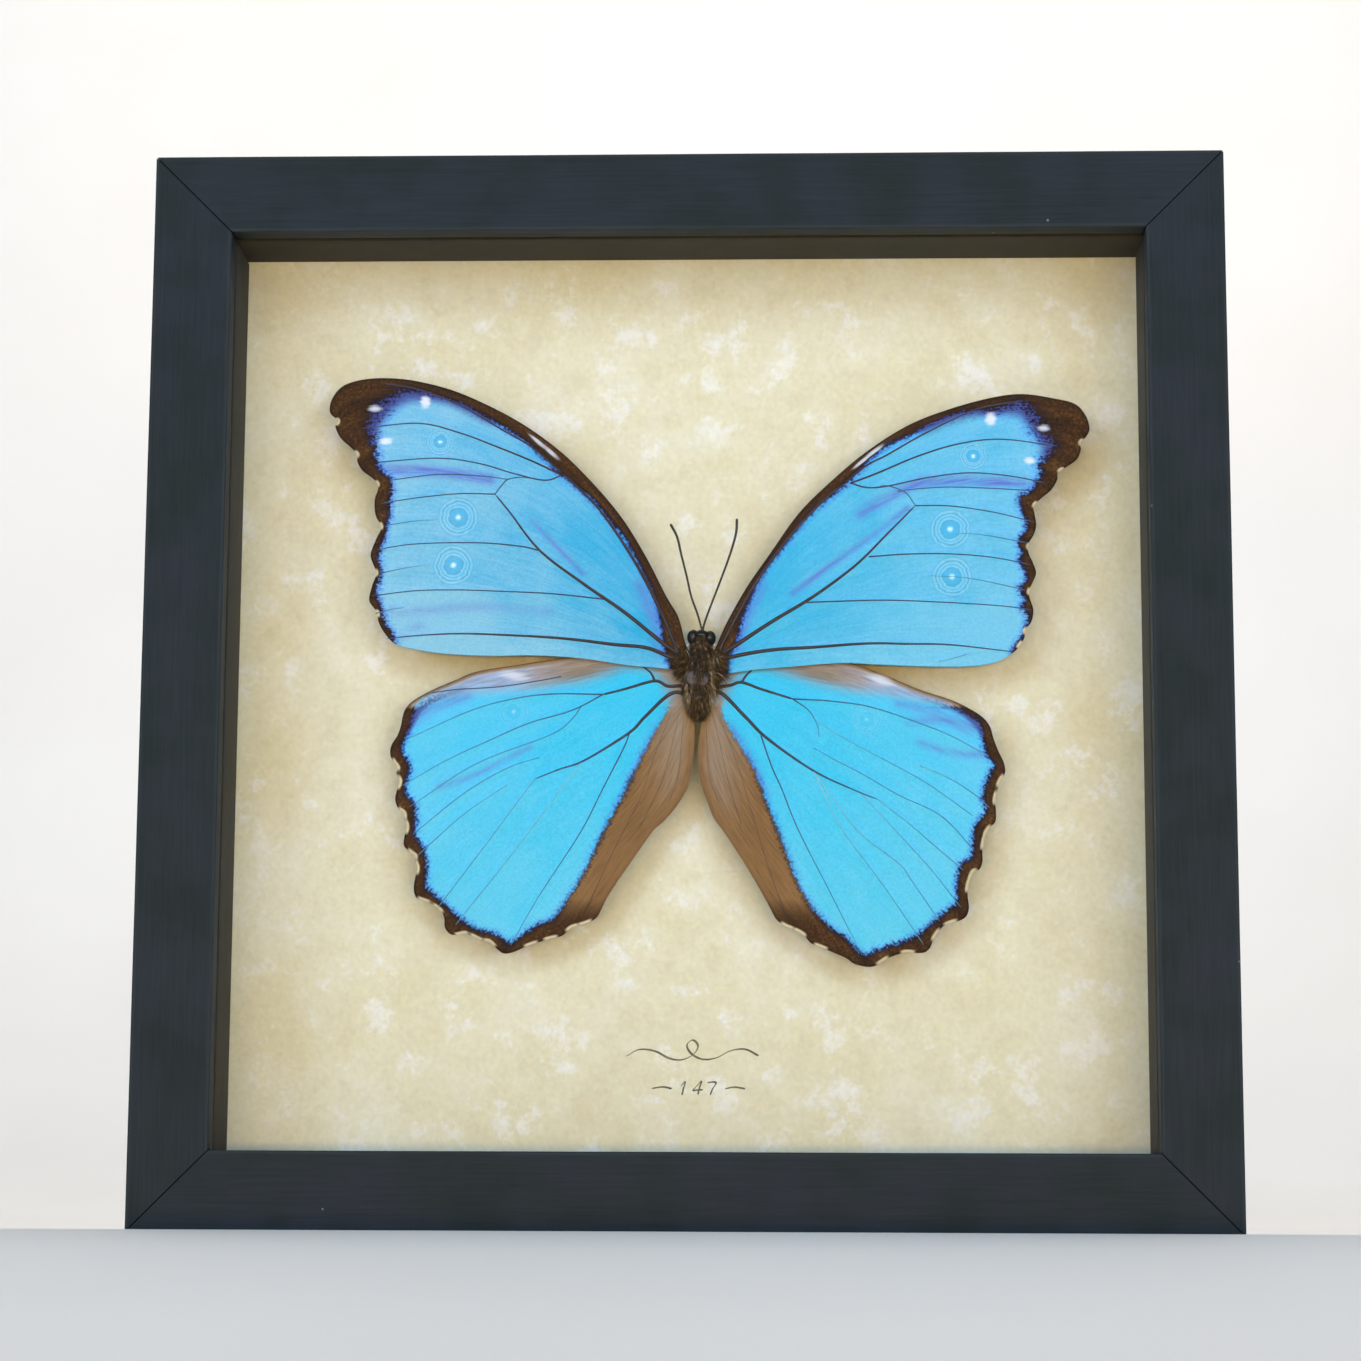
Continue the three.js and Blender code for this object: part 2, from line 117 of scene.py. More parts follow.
def add(material, kind, inputs=(), stops=(), **settings):
    """Adds a node and returns it. A list fills its inputs in order, a dict by name or by number."""
    node = material.node_tree.nodes.new("ShaderNode" + kind)
    for name, value in settings.items():
        setattr(node, name, value)
    for key, value in inputs.items() if isinstance(inputs, dict) else enumerate(inputs):
        by_name = (s for s in node.inputs if s.name == key and s.enabled)
        socket = node.inputs[key] if isinstance(key, int) else next(by_name)
        if isinstance(value, bpy.types.Node):
            value = next(s for s in value.outputs if s.enabled)
        if isinstance(value, bpy.types.NodeSocket):
            material.node_tree.links.new(value, socket)
        else:
            socket.default_value = value
    if stops:
        ramp = node.color_ramp.elements
        ramp.remove(ramp[1])
        ramp[0].position = stops[0][0]
    for i, (place, code, *alpha) in enumerate(stops):
        element = ramp[0] if i == 0 else ramp.new(place)
        element.color = colour(code, *alpha)
    return node


OVER = {"data_type": "RGBA"}
TIMES = {"data_type": "RGBA", "blend_type": "MULTIPLY"}
SMOOTH = {"interpolation_type": "SMOOTHSTEP"}


def per_mm(size):
    """The scale of a texture on Object coordinates, which are metres, for features of a size in mm."""
    return 1 / (size * MM)


def blank_material(name):
    """A material with nothing in it yet but its Object coordinates."""
    material = bpy.data.materials.new(name)
    material.use_nodes = True
    material.node_tree.nodes.clear()
    return material, add(material, "TexCoord").outputs["Object"]


def finish(material, inputs):
    """Ends a material with its surface."""
    add(material, "OutputMaterial", {"Surface": add(material, "BsdfPrincipled", inputs)})
    return material


def clouded(name, size, detail, stops, inputs, strength=0.0, depth=0.0):
    """One noise of a size in millimetres through a ramp, and a relief of it with a strength and a depth."""
    material, place = blank_material(name)
    cloud = add(material, "TexNoise", {"Vector": place, "Scale": per_mm(size), "Detail": detail})
    inputs = {"Base Color": add(material, "ValToRGB", [cloud], stops=stops), **inputs}
    if strength:
        inputs["Normal"] = add(material, "Bump", {
            "Height": cloud, "Strength": strength, "Distance": depth * MM})
    return finish(material, inputs)


# %% [markdown]
# ## Helpers for shapes
#
# Nearly every piece here is a stack of rings: a tube is rings along a path, a strip is a rectangle that
# shrinks at its rounded ends, and the insect's body is ellipses along its length. `ring_stack` joins such
# rings and caps both ends, so the result is closed. `make_piece` puts one or more of these parts into a
# mesh, writes any numbers per point as attributes for the shaders, and lets bmesh turn the faces outwards.


# %% Rings and grids
def ring_stack(rings, material, **fields):
    """Joins rings of equally many points, each to the next, and closes both ends with a flat cap."""
    number = np.arange(rings.shape[0] * rings.shape[1]).reshape(rings.shape[:2])
    after = np.roll(number, -1, axis=1)
    walls = np.stack([number[:-1], after[:-1], after[1:], number[1:]], axis=-1).reshape(-1, 4)
    fields = {key: np.broadcast_to(value, rings.shape[:2]).ravel() for key, value in fields.items()}
    return {"points": rings.reshape(-1, 3), "faces": [walls, number[:1], number[-1:]],
            "material": material, "fields": fields}


def cells_of(number):
    """The four-sided faces between neighbours in a grid of point numbers."""
    corners = [number[:-1, :-1], number[1:, :-1], number[1:, 1:], number[:-1, 1:]]
    return np.stack(corners, axis=-1).reshape(-1, 4)


# %% Curves and tubes
def spline(points, steps):
    """Catmull-Rom curve: each stretch is a cubic whose slope at a point is half the chord beside it."""
    p = np.asarray(points, float)
    padded = np.vstack([2 * p[0] - p[1], p, 2 * p[-1] - p[-2]])
    a, b, c, d = (padded[i:i + len(p) - 1, None] for i in range(4))
    t = np.linspace(0, 1, steps, endpoint=False)[None, :, None]
    curve = b + 0.5 * ((c - a) * t + (2 * a - 5 * b + 4 * c - d) * t**2 + (3 * b - a - 3 * c + d) * t**3)
    return np.vstack([curve.reshape(-1, p.shape[1]), p[-1:]])


def evenly(curve, count):
    """The same curve as count points at equal steps of its length."""
    length = np.concatenate([[0], np.cumsum(np.linalg.norm(np.diff(curve, axis=0), axis=1))])
    at = np.linspace(0, length[-1], count)
    return np.stack([np.interp(at, length, column) for column in curve.T], axis=1)


def tube(path, radius, material, sides=8, flatten=1.0, **fields):
    """Rings square to a path, each a circle of the radius there, squeezed in depth by flatten."""
    heading = np.gradient(path, axis=0)
    heading /= np.linalg.norm(heading, axis=1, keepdims=True)
    beside = np.cross(heading, (0, -1, 0))
    beside /= np.linalg.norm(beside, axis=1, keepdims=True)
    up = np.cross(beside, heading)
    turn = np.linspace(0, 2 * np.pi, sides, endpoint=False)[None, :, None]
    circle = np.cos(turn) * beside[:, None] + flatten * np.sin(turn) * up[:, None]
    return ring_stack(path[:, None] + radius[:, None, None] * circle, material, **fields)


# %% Pieces
def make_piece(name, parts, slot, *nodes):
    """One mesh from parts. It rides with the object, and stands for the named solids."""
    keys = sorted({key for part in parts for key in part["fields"]})
    values = {key: [] for key in keys}
    materials = list(dict.fromkeys(part["material"] for part in parts))
    points, faces, slots, smooth, start = [], [], [], [], 0
    for part in parts:
        count = len(part["points"])
        points.append(part["points"])
        for block in part["faces"]:
            faces += (block + start).tolist()
            slots += [materials.index(part["material"])] * len(block)
            smooth += [block.shape[1] <= 4] * len(block)
        for key in keys:
            values[key].append(np.broadcast_to(part["fields"].get(key, 0.0), count))
        start += count
    mesh = bpy.data.meshes.new(name)
    mesh.from_pydata((np.concatenate(points) * MM).tolist(), [], faces)
    mesh.polygons.foreach_set("material_index", slots)
    mesh.polygons.foreach_set("use_smooth", smooth)
    for key in keys:
        field = mesh.attributes.new(key, "FLOAT", "POINT")
        field.data.foreach_set("value", np.concatenate(values[key]).astype(np.float32))
    for material in materials:
        mesh.materials.append(material)
    shape = bmesh.new()
    shape.from_mesh(mesh)
    bmesh.ops.recalc_face_normals(shape, faces=shape.faces)
    shape.to_mesh(mesh)
    shape.free()
    piece = bpy.data.objects.new(name, mesh)
    bpy.context.scene.collection.objects.link(piece)
    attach(piece, "root")
    if nodes:
        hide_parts(*nodes)
    print(f"{name}: {len(mesh.polygons)} faces")
    return piece


# %% [markdown]
# ## Slate paint
#
# The rails are close-grained wood under one thin coat of dark slate-blue satin paint, brushed along each
# rail. The eye sees a nearly flat dark blue-grey, fine lines that follow the grain, faint greener and bluer
# clouds, and a few pale nicks. Every rail carries its own `along` and `around` fields in millimetres, so
# the grain turns with the rail at each mitre.


# %% The paint
def slate_paint():
    """Satin paint on wood: clouds 14 mm wide, nicks 0.5 mm wide, and grain 0.5 mm apart so that it shows."""
    paint, place = blank_material("slate satin paint on wood")
    along, around, rub = (
        add(paint, "Attribute", attribute_name=key).outputs["Fac"] for key in ("along", "around", "arris"))
    stretched = add(paint, "Math", [along, 0.03], operation="MULTIPLY")
    grain_place = add(paint, "CombineXYZ", [stretched, around])
    grain = add(paint, "TexNoise", {"Vector": grain_place, "Scale": 2.0, "Detail": 4, "Roughness": 0.65})
    clouds = add(paint, "TexNoise", {"Vector": place, "Scale": per_mm(14), "Detail": 3})
    nicks = add(paint, "TexVoronoi", {"Vector": place, "Scale": per_mm(11)})
    nick = add(paint, "Math", [nicks.outputs["Distance"], 0.022], operation="LESS_THAN")
    worn = add(paint, "Math", [rub, grain], operation="MULTIPLY")
    streak = add(paint, "MapRange", [grain, 0.3, 0.7, 0.86, 1.14])
    tone = add(paint, "ValToRGB", [clouds], stops=[(0.35, "#1b2527"), (0.5, "#1f282d"), (0.65, "#232a32")])
    tone = add(paint, "Mix", {"Factor": 1.0, "A": tone, "B": streak}, **TIMES)
    for cover, layer in ((nick, "#6b7472"), (worn, "#3b4448")):
        tone = add(paint, "Mix", {"Factor": cover, "A": tone, "B": colour(layer)}, **OVER)
    height = add(paint, "Bump", {"Height": grain, "Strength": 0.25, "Distance": 0.04 * MM})
    gloss = add(paint, "MapRange", [grain, 0, 1, 0.68, 0.5])
    return finish(paint, {
        "Base Color": tone, "Roughness": gloss, "IOR": 1.45, "Specular IOR Level": 0.2, "Normal": height})


SLATE_PAINT = slate_paint()

# %% [markdown]
# ## The four rails
#
# Each rail is one moulding, cut to a mitre at both ends. Its section is an L: a lip in front that holds the
# glass, and a rabbet behind it. The section is a loop of points whose corners are small quadratic curves,
# the rounded arrises. It is carried along the rail, and each line of points stops where it meets the mitre:
# the nearer it lies to the opening, the sooner. The last rings shrink a little, so the joints show as fine
# dark grooves.

# %% The section of a rail
ARRIS = 0.5
MITRE_GAP = 0.14
SECTION_STEP = 0.32
RUB_WIDTH = 0.8
RAIL_CORNERS = [(0, 0), (RAIL_DEPTH, 0), (RAIL_DEPTH, RABBET_WALL), (LIP_DEPTH, RABBET_WALL),
                (LIP_DEPTH, RAIL_WIDTH), (0, RAIL_WIDTH)]


def rounded_loop(corners, radius, step):
    """A closed outline: at each corner a quadratic curve, and points at equal steps between corners."""
    corners = np.asarray(corners, float)
    pieces = []
    for before, corner, after in zip(np.roll(corners, 1, axis=0), corners, np.roll(corners, -1, axis=0)):
        start = corner + radius * (before - corner) / np.linalg.norm(before - corner)
        end = corner + radius * (after - corner) / np.linalg.norm(after - corner)
        t = np.linspace(0, 1, 5)[:, None]
        pieces.append((1 - t) ** 2 * start + 2 * t * (1 - t) * corner + t**2 * end)
        gap = np.linalg.norm(after - corner) - 2 * radius
        count = int(gap / step)
        straight = np.linspace(0, 1, count + 2)[1:-1, None]
        pieces.append(end + straight * (after - corner) / np.linalg.norm(after - corner) * gap)
    return np.concatenate(pieces)


section = rounded_loop(RAIL_CORNERS, ARRIS, SECTION_STEP)
tangent = np.roll(section, -1, axis=0) - np.roll(section, 1, axis=0)
outward = np.stack([tangent[:, 1], -tangent[:, 0]], axis=1) / np.linalg.norm(tangent, axis=1, keepdims=True)
around = np.concatenate([[0], np.cumsum(np.linalg.norm(np.diff(section, axis=0), axis=1))])
to_corner = np.min(np.linalg.norm(section[:, None] - np.array(RAIL_CORNERS)[None], axis=2), axis=1)
print(f"section of {len(section)} points")

# %% Carry the section along each rail
# Each wave of the grain has a pitch across the rail, a height, and a length over which its crest wanders.
GRAIN = [(0.9, 0.004, 60), (1.3, 0.006, 95), (2.1, 0.007, 130), (3.4, 0.009, 170)]
GRAIN_DRIFT = 0.35
GRAIN_SHIFT = 260
END_BACK = np.array([0.45, 0.2, 0.08, 0.0])
END_SHRINK = np.array([0.0, 0.01, 0.035, 0.08])
RAIL_STEPS = 74


def grain_height(along, around, turn):
    """Raised grain: waves across the rail whose crests wander along it, shifted by the turn of the rail."""
    height = 0
    for i, (pitch, size, wander) in enumerate(GRAIN):
        drift = GRAIN_DRIFT * np.sin(2 * np.pi * along / wander + 1.7 * i + turn)
        height = height + size * np.sin(2 * np.pi * (around / pitch + drift) + 2.3 * i * turn)
    return height


def rail(side, turn):
    """A bottom rail worked out about the frame's middle, then turned to its side of the frame."""
    middle = np.linspace(-1, 1, RAIL_STEPS)
    ends = np.ones(len(END_BACK))
    share = np.concatenate([-ends, middle[1:-1], ends])
    back = np.concatenate([END_BACK[::-1], np.zeros(RAIL_STEPS - 2), END_BACK])
    shrink = np.concatenate([END_SHRINK[::-1], np.zeros(RAIL_STEPS - 2), END_SHRINK])
    flat = section[None] - shrink[:, None, None] * outward[None]
    reach = HALF - flat[..., 1] - MITRE_GAP / np.sqrt(2)
    along = share[:, None] * (reach - back[:, None])
    raised = flat + grain_height(along, around[None], turn)[..., None] * outward[None]
    x, y, z = along, FRONT + raised[..., 0], raised[..., 1] - HALF
    points = np.stack([
        np.cos(turn) * x + np.sin(turn) * z, y, HALF - np.sin(turn) * x + np.cos(turn) * z], axis=-1)
    part = ring_stack(points, SLATE_PAINT, along=along + GRAIN_SHIFT * turn, around=around,
                      arris=np.clip(1 - to_corner / RUB_WIDTH, 0, 1))
    make_piece(f"painted_rail_{side}", [part], "slate_paint", f"frame_{side}")


for side, turn in {"bottom": 0.0, "left": np.pi / 2, "top": np.pi, "right": -np.pi / 2}.items():
    rail(side, turn)

# %% [markdown]
# ## Strips and sheets
#
# The glass, the spacer strips, the card and the boards behind it are flat pieces with slightly eased edges.
# One function makes them all: a rectangle with rounded corners, carried through the piece's thickness, that
# is inset near the front and the back by a quarter circle.


# %% A sheet with eased edges
def eased_sheet(node, ease, material):
    """Rectangles stacked along Y: at the edge's angle a the inset is ease (1 - cos a), the depth by sine."""
    low, high = corners_of(node)
    angle = np.radians([80, 55, 30, 0])
    inset = np.concatenate([ease * (1 - np.cos(angle)), ease * (1 - np.cos(angle[::-1]))])
    depth = np.concatenate([ease * (1 - np.sin(angle)), high[1] - low[1] - ease * (1 - np.sin(angle[::-1]))])
    turn = np.radians(np.arange(0, 360, 22.5))
    corner = 2 * ease
    way = np.stack([np.cos(turn), np.sin(turn)], axis=1)
    quarter = np.sign(np.round(np.stack([np.cos(turn + 0.01), np.sin(turn + 0.01)], axis=1), 6))
    middle = (low + high)[[0, 2]] / 2
    reach = (high - low)[[0, 2]] / 2 - corner
    outline = middle + reach * quarter + (corner - inset)[:, None, None] * way[None]
    y = np.broadcast_to((low[1] + depth)[:, None], outline.shape[:2])
    return ring_stack(np.stack([outline[..., 0], y, outline[..., 1]], axis=-1), material)


# %% [markdown]
# ## Glass
#
# Picture glass is float glass, 2 mm thick: clear, perfectly smooth and colourless, with a faint green edge
# that the lip hides. It is see-through by transmission with glass's own index of refraction, 1.5. Light
# that falls through it onto the card would be slow to trace, so shadow rays and diffuse rays skip it.

# %% The glass
clear, _ = blank_material("float glass")
finish(clear, {"Base Color": colour("#fbfdfc"), "Roughness": 0.0, "IOR": 1.5, "Transmission Weight": 1.0})
pane = make_piece("picture_glass", [eased_sheet("glass", 0.15, clear)], "glass", "glass")
pane.visible_shadow = False
pane.visible_diffuse = False

# %% [markdown]
# ## Spacer strips
#
# Four strips of thin board, brushed matt brown-black, keep the card away from the glass. Only a dark band
# shows inside the lip, with faint streaks about 3 mm wide and the warm light of the card on it.

# %% Spacers
MATT_BOARD = clouded("matt brown-black board", 3, 5, [(0.3, "#1b1913"), (0.7, "#24221a")],
                     {"Roughness": 0.8}, 0.3, 0.05)
for side in ("bottom", "top", "left", "right"):
    node = f"spacer_{side}"
    make_piece(f"spacer_strip_{side}", [eased_sheet(node, 0.2, MATT_BOARD)], "spacer_board", node)

# %% [markdown]
# ## The parchment card
#
# The card is printed or sponged to look like old parchment: a warm cream with whitish wisps a few
# millimetres across, broad warmer stains, and darker, yellower edges, partly an aged tint and partly painted
# shade where the frame's walls shade the card. Noise textures of those sizes give the layers. The edge tint
# follows the distance to the nearest side of the card, broken up by the stains.


# %% The card
def parchment():
    """Cream card: wisps from an 8 mm noise, stains of 22 mm, edges tinted partly as painted shade, a coarse
    tooth.
    """
    card, place = blank_material("mottled parchment card")
    stain = add(card, "TexNoise", {"Vector": place, "Scale": per_mm(22), "Detail": 5, "Roughness": 0.6})
    wisps = add(card, "TexNoise", {"Vector": place, "Scale": per_mm(8), "Detail": 12, "Roughness": 0.72})
    tooth = add(card, "TexNoise", {"Vector": place, "Scale": per_mm(0.9), "Detail": 5, "Roughness": 0.7})
    centred = add(card, "Mapping", {"Vector": place, "Location": (0, 0, -HALF * MM)})
    sides = add(card, "SeparateXYZ", [add(card, "VectorMath", [centred], operation="ABSOLUTE")])
    furthest = add(card, "Math", [sides.outputs["X"], sides.outputs["Z"], 0.02], operation="SMOOTH_MAX")
    uneven = add(card, "Math", [stain, 0.03, furthest], operation="MULTIPLY_ADD")
    wisp = add(card, "MapRange", [wisps, 0.52, 0.64, 0, 0.75], **SMOOTH)
    dark = add(card, "MapRange", [wisps, 0.48, 0.36, 0, 0.3])
    # Darker, yellower band along the card's sides, partly an aged tint and partly painted shade of the
    # frame's walls.
    edge = add(card, "MapRange", [uneven, 0.09, 0.118, 0, 0.45], **SMOOTH)
    grain = add(card, "MapRange", [tooth, 0.3, 0.7, 0.93, 1.07])
    tone = add(card, "ValToRGB", [stain], stops=[(0.32, "#e8dfba"), (0.5, "#ece5c6"), (0.68, "#f1edd6")])
    for cover, layer in ((wisp, "#f9f7f0"), (dark, "#d8c9a0"), (edge, "#dcd8ae")):
        tone = add(card, "Mix", {"Factor": cover, "A": tone, "B": colour(layer)}, **OVER)
    tone = add(card, "Mix", {"Factor": 1.0, "A": tone, "B": grain}, **TIMES)
    height = add(card, "Bump", {"Height": tooth, "Strength": 0.35, "Distance": 0.05 * MM})
    return finish(card, {
        "Base Color": tone, "Roughness": 0.85, "Specular IOR Level": 0.25, "Normal": height})


make_piece("mottled_card", [eased_sheet("parchment_card", 0.12, parchment())], "parchment", "parchment_card")

# %% [markdown]
# ## Pen marks on the card
#
# Under the specimen the card carries two short lines of pen work. Here they are a plain flourish and a
# small number between two dashes. A broad nib makes a stroke thin along its own edge and thick across it,
# so the width of each stroke is worked out from the angle between the stroke and the nib. The ink is
# iron-gall ink, dried: dark olive grey, a little paler where the nib ran dry.

# %% Ink strokes
NIB_ANGLE = np.radians(38)
NIB_WIDTH = 0.34
NIB_THIN = 0.1
INK_LIFT = 0.01
STROKE_END = 0.4
STROKE_SMOOTH = 7
FLOURISH = [(-11.5, 33.2), (-9, 34.5), (-6, 34.2), (-3.4, 32.9), (-1, 32.6), (1.2, 33.6), (2.1, 35.2),
            (1.1, 36.3), (0, 35.3), (0.9, 33.7), (3, 32.7), (5.6, 33), (8.2, 34.3), (11, 34.6), (13.5, 33.4)]
NUMBER_STROKES = [
    [(-6.6, 27.2), (-4.6, 27.5), (-2.8, 27.2)],
    [(-1.1, 27.7), (-0.3, 28.5), (-0.65, 27.1), (-0.9, 26)],
    [(2.1, 26.1), (2.4, 27.4), (2.75, 28.6), (1.9, 27.7), (1.2, 26.9), (2, 26.95), (3, 27)],
    [(3.9, 28.3), (4.7, 28.45), (5.5, 28.3), (4.9, 27.2), (4.4, 26)],
    [(7.2, 27.2), (9, 27.5), (11, 27.2)],
]


INK = clouded("dried pen ink", 1.2, 3, [(0.35, "#4b4a3c"), (0.65, "#77745f")], {"Roughness": 0.6})


def stroke(points):
    """A flat ribbon whose width is the nib's width times the sine of the stroke's angle to the nib."""
    flat = spline(points, 10)
    heading = np.gradient(flat, axis=0)
    angle = np.arctan2(heading[:, 1], heading[:, 0]) - NIB_ANGLE
    width = NIB_THIN + NIB_WIDTH * np.abs(np.sin(angle))
    padded = np.pad(width, STROKE_SMOOTH // 2, mode="edge")
    width = np.convolve(padded, np.ones(STROKE_SMOOTH) / STROKE_SMOOTH, mode="valid")
    width[[0, -1]] *= STROKE_END
    path = np.stack([flat[:, 0], np.full(len(flat), CARD_FRONT - INK_LIFT), flat[:, 1]], axis=1)
    return tube(path, width / 2, INK, sides=6, flatten=0.06)


make_piece("pen_marks", [stroke(points) for points in [FLOURISH] + NUMBER_STROKES], "parchment")

# %% [markdown]
# ## The back
#
# Nobody sees much of the back, but it is finished. Foam board holds the pin, a sheet of brown hardboard
# closes the box, flat steel points hold it in, and a brass-plated hanger is nailed to the top rail.


# %% Boards
def hardboard():
    """Pressed wood fibre: brown felted fibres about 1.5 mm long on a smooth face."""
    board, place = blank_material("pressed hardboard")
    fibre = add(board, "TexNoise", {"Vector": place, "Scale": per_mm(1.5), "Detail": 8, "Roughness": 0.75})
    broad = add(board, "TexNoise", {"Vector": place, "Scale": per_mm(40), "Detail": 2})
    both = add(board, "Math", [broad, 0.3, fibre], operation="MULTIPLY_ADD")
    tone = add(board, "ValToRGB", [both], stops=[(0.5, "#5c4029"), (0.65, "#7a5738"), (0.8, "#94704a")])
    height = add(board, "Bump", {"Height": fibre, "Strength": 0.3, "Distance": 0.05 * MM})
    return finish(board, {"Base Color": tone, "Roughness": 0.7, "Normal": height})


FOAM = clouded("paper-faced foam board", 0.8, 4, [(0.3, "#e4e3dd"), (0.7, "#f1f0ec")], {"Roughness": 0.85})
make_piece("hardboard_back", [eased_sheet("backing_board", 0.25, hardboard())], "hardboard", "backing_board")
make_piece("foam_core", [eased_sheet("foam_board", 0.2, FOAM)], "foam_board", "foam_board")


# %% Metals
def rolled_metal(name, dark, light, rough, pitch):
    """Rolled metal: cloudy tarnish, and lines along X at a pitch in mm that is coarse enough to show."""
    metal, place = blank_material(name)
    drawn = add(metal, "Mapping", {"Vector": place, "Scale": (0.05, 1, 1)})
    lines = add(metal, "TexNoise", {"Vector": drawn, "Scale": per_mm(pitch), "Detail": 3})
    cloud = add(metal, "TexNoise", {"Vector": place, "Scale": per_mm(5), "Detail": 3})
    tone = add(metal, "ValToRGB", [cloud], stops=[(0.35, dark), (0.65, light)])
    gloss = add(metal, "MapRange", [lines, 0, 1, rough - 0.1, rough + 0.12])
    height = add(metal, "Bump", {"Height": lines, "Strength": 0.2, "Distance": 0.01 * MM})
    return finish(metal, {"Base Color": tone, "Metallic": 1.0, "Roughness": gloss, "Normal": height})


STEEL = rolled_metal("rolled steel", "#a3a6a8", "#c3c6c7", 0.36, 0.25)
BRASSED = rolled_metal("brass-plated steel", "#9a7636", "#c59f55", 0.32, 0.3)
for node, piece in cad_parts.items():
    if node.startswith(("framing_point", "mounting_pin", "hanger")):
        for slot in piece.material_slots:
            slot.material = BRASSED if node.startswith("hanger") else STEEL

# %% [markdown]
# ## The outlines of the wings
#
# The wings were set by hand, so left and right differ. Each outline runs from the root along the leading
# edge, round the scalloped outer edge and back along the trailing edge, through points as [x, z].

# %% Outlines of the forewings
LEFT_FOREWING = [
    (1.5, 108), (-0.2, 110.5), (-1.7, 116), (-4, 120), (-8.1, 128), (-13.1, 136), (-19.9, 143.9),
    (-26, 149.6), (-34, 155.1), (-44, 160), (-52, 162.3), (-58, 163), (-63, 162.7), (-66.8, 161.4),
    (-68.8, 158.8), (-69.1, 156.2), (-67.6, 154.6), (-68, 153.4), (-67, 151.2), (-65.2, 149.5),
    (-63.7, 147.9), (-63.6, 146.5), (-62.6, 144.7), (-60.3, 142.9), (-59.5, 141.2), (-60.1, 139),
    (-59.9, 136), (-58.8, 133.5), (-59.8, 131), (-60.7, 128), (-59.6, 124.7), (-60.3, 122.2), (-60.8, 119.3),
    (-59.4, 117.2), (-58.9, 115), (-57.6, 112.8), (-55.8, 111), (-53, 110.1), (-47, 109.1), (-38, 108.6),
    (-29, 108.7), (-20, 108.1), (-12, 106.9), (-6, 106.3), (0.5, 105.8),
]
RIGHT_FOREWING = [
    (4.2, 108), (5.5, 110.4), (6.2, 112.2), (8, 116), (11.4, 122), (15.5, 128), (21.1, 136), (27, 142),
    (34, 148), (42, 153.2), (50, 156.4), (58, 158.6), (64, 159.3), (70, 158.4), (74, 157.3), (76, 155),
    (76.7, 152.5), (76.1, 150.9), (74.9, 149.6), (75, 148.3), (74.2, 146.4), (72.2, 144.9), (70.6, 143.8),
    (70.4, 142.4), (69.2, 140.4), (67.2, 138.7), (65.9, 137.2), (66.1, 135.6), (66.3, 133.5), (65.8, 131.7),
    (64.8, 130), (64.8, 128.3), (65.6, 126.4), (66.2, 124.4), (65.6, 122.7), (64.9, 121.1), (64.9, 119.7),
    (65.6, 117.3), (65.2, 115), (64.1, 113.5), (63.8, 111.8), (62.4, 109.7), (60, 108), (57, 106.9),
    (52, 106.4), (44, 106.5), (36, 106.85), (29, 107.15), (20, 106.5), (12, 105.8), (5, 104.8),
]
print(f"wings span {max(RIGHT_FOREWING)[0] - min(LEFT_FOREWING)[0]:.1f} mm")

# %% Outlines of the hindwings
LEFT_HINDWING = [
    (0.5, 104), (-2, 106.5), (-8, 109), (-16, 109.3), (-24, 108.3), (-32, 107.1), (-40, 105.8), (-44, 104.2),
    (-48, 102.5), (-52, 100.3), (-53.8, 98.3), (-54.5, 95.2), (-55.2, 93.2), (-56.2, 91.6), (-56.4, 89.8),
    (-55.7, 88.3), (-54.9, 87.2), (-55.2, 86.2), (-54.5, 84.9), (-54.9, 83.3), (-55.3, 81.3), (-54.7, 79.5),
    (-53.6, 78.6), (-53.5, 77.6), (-53, 76), (-53.4, 74.2), (-53.5, 72.5), (-52.6, 71.4), (-51.3, 70.4),
    (-51.4, 69.5), (-50.9, 68.3), (-51.2, 66.5), (-51.5, 64.3), (-51, 62.6), (-49.7, 62), (-48.2, 61.4),
    (-46.2, 59.9), (-45.6, 58.5), (-45.5, 57), (-44.6, 55.8), (-43.3, 55.5), (-41.6, 55.8), (-39.9, 55.1),
    (-38.7, 54.5), (-37.2, 54.3), (-35.8, 53.1), (-34.4, 52.1), (-32.6, 52.3), (-30, 53.4), (-26.1, 54.7),
    (-23.4, 55.4), (-21.6, 56.9), (-18.9, 57.7), (-16.9, 58.8), (-15.9, 60.6), (-14, 64.3), (-10, 70.1),
    (-6, 75.7), (-3.9, 77.6), (-2.2, 79.6), (-0.8, 81.8), (0.3, 84.3), (1, 87.9), (1.3, 91), (1.4, 94),
    (1.3, 97), (0.8, 100),
]
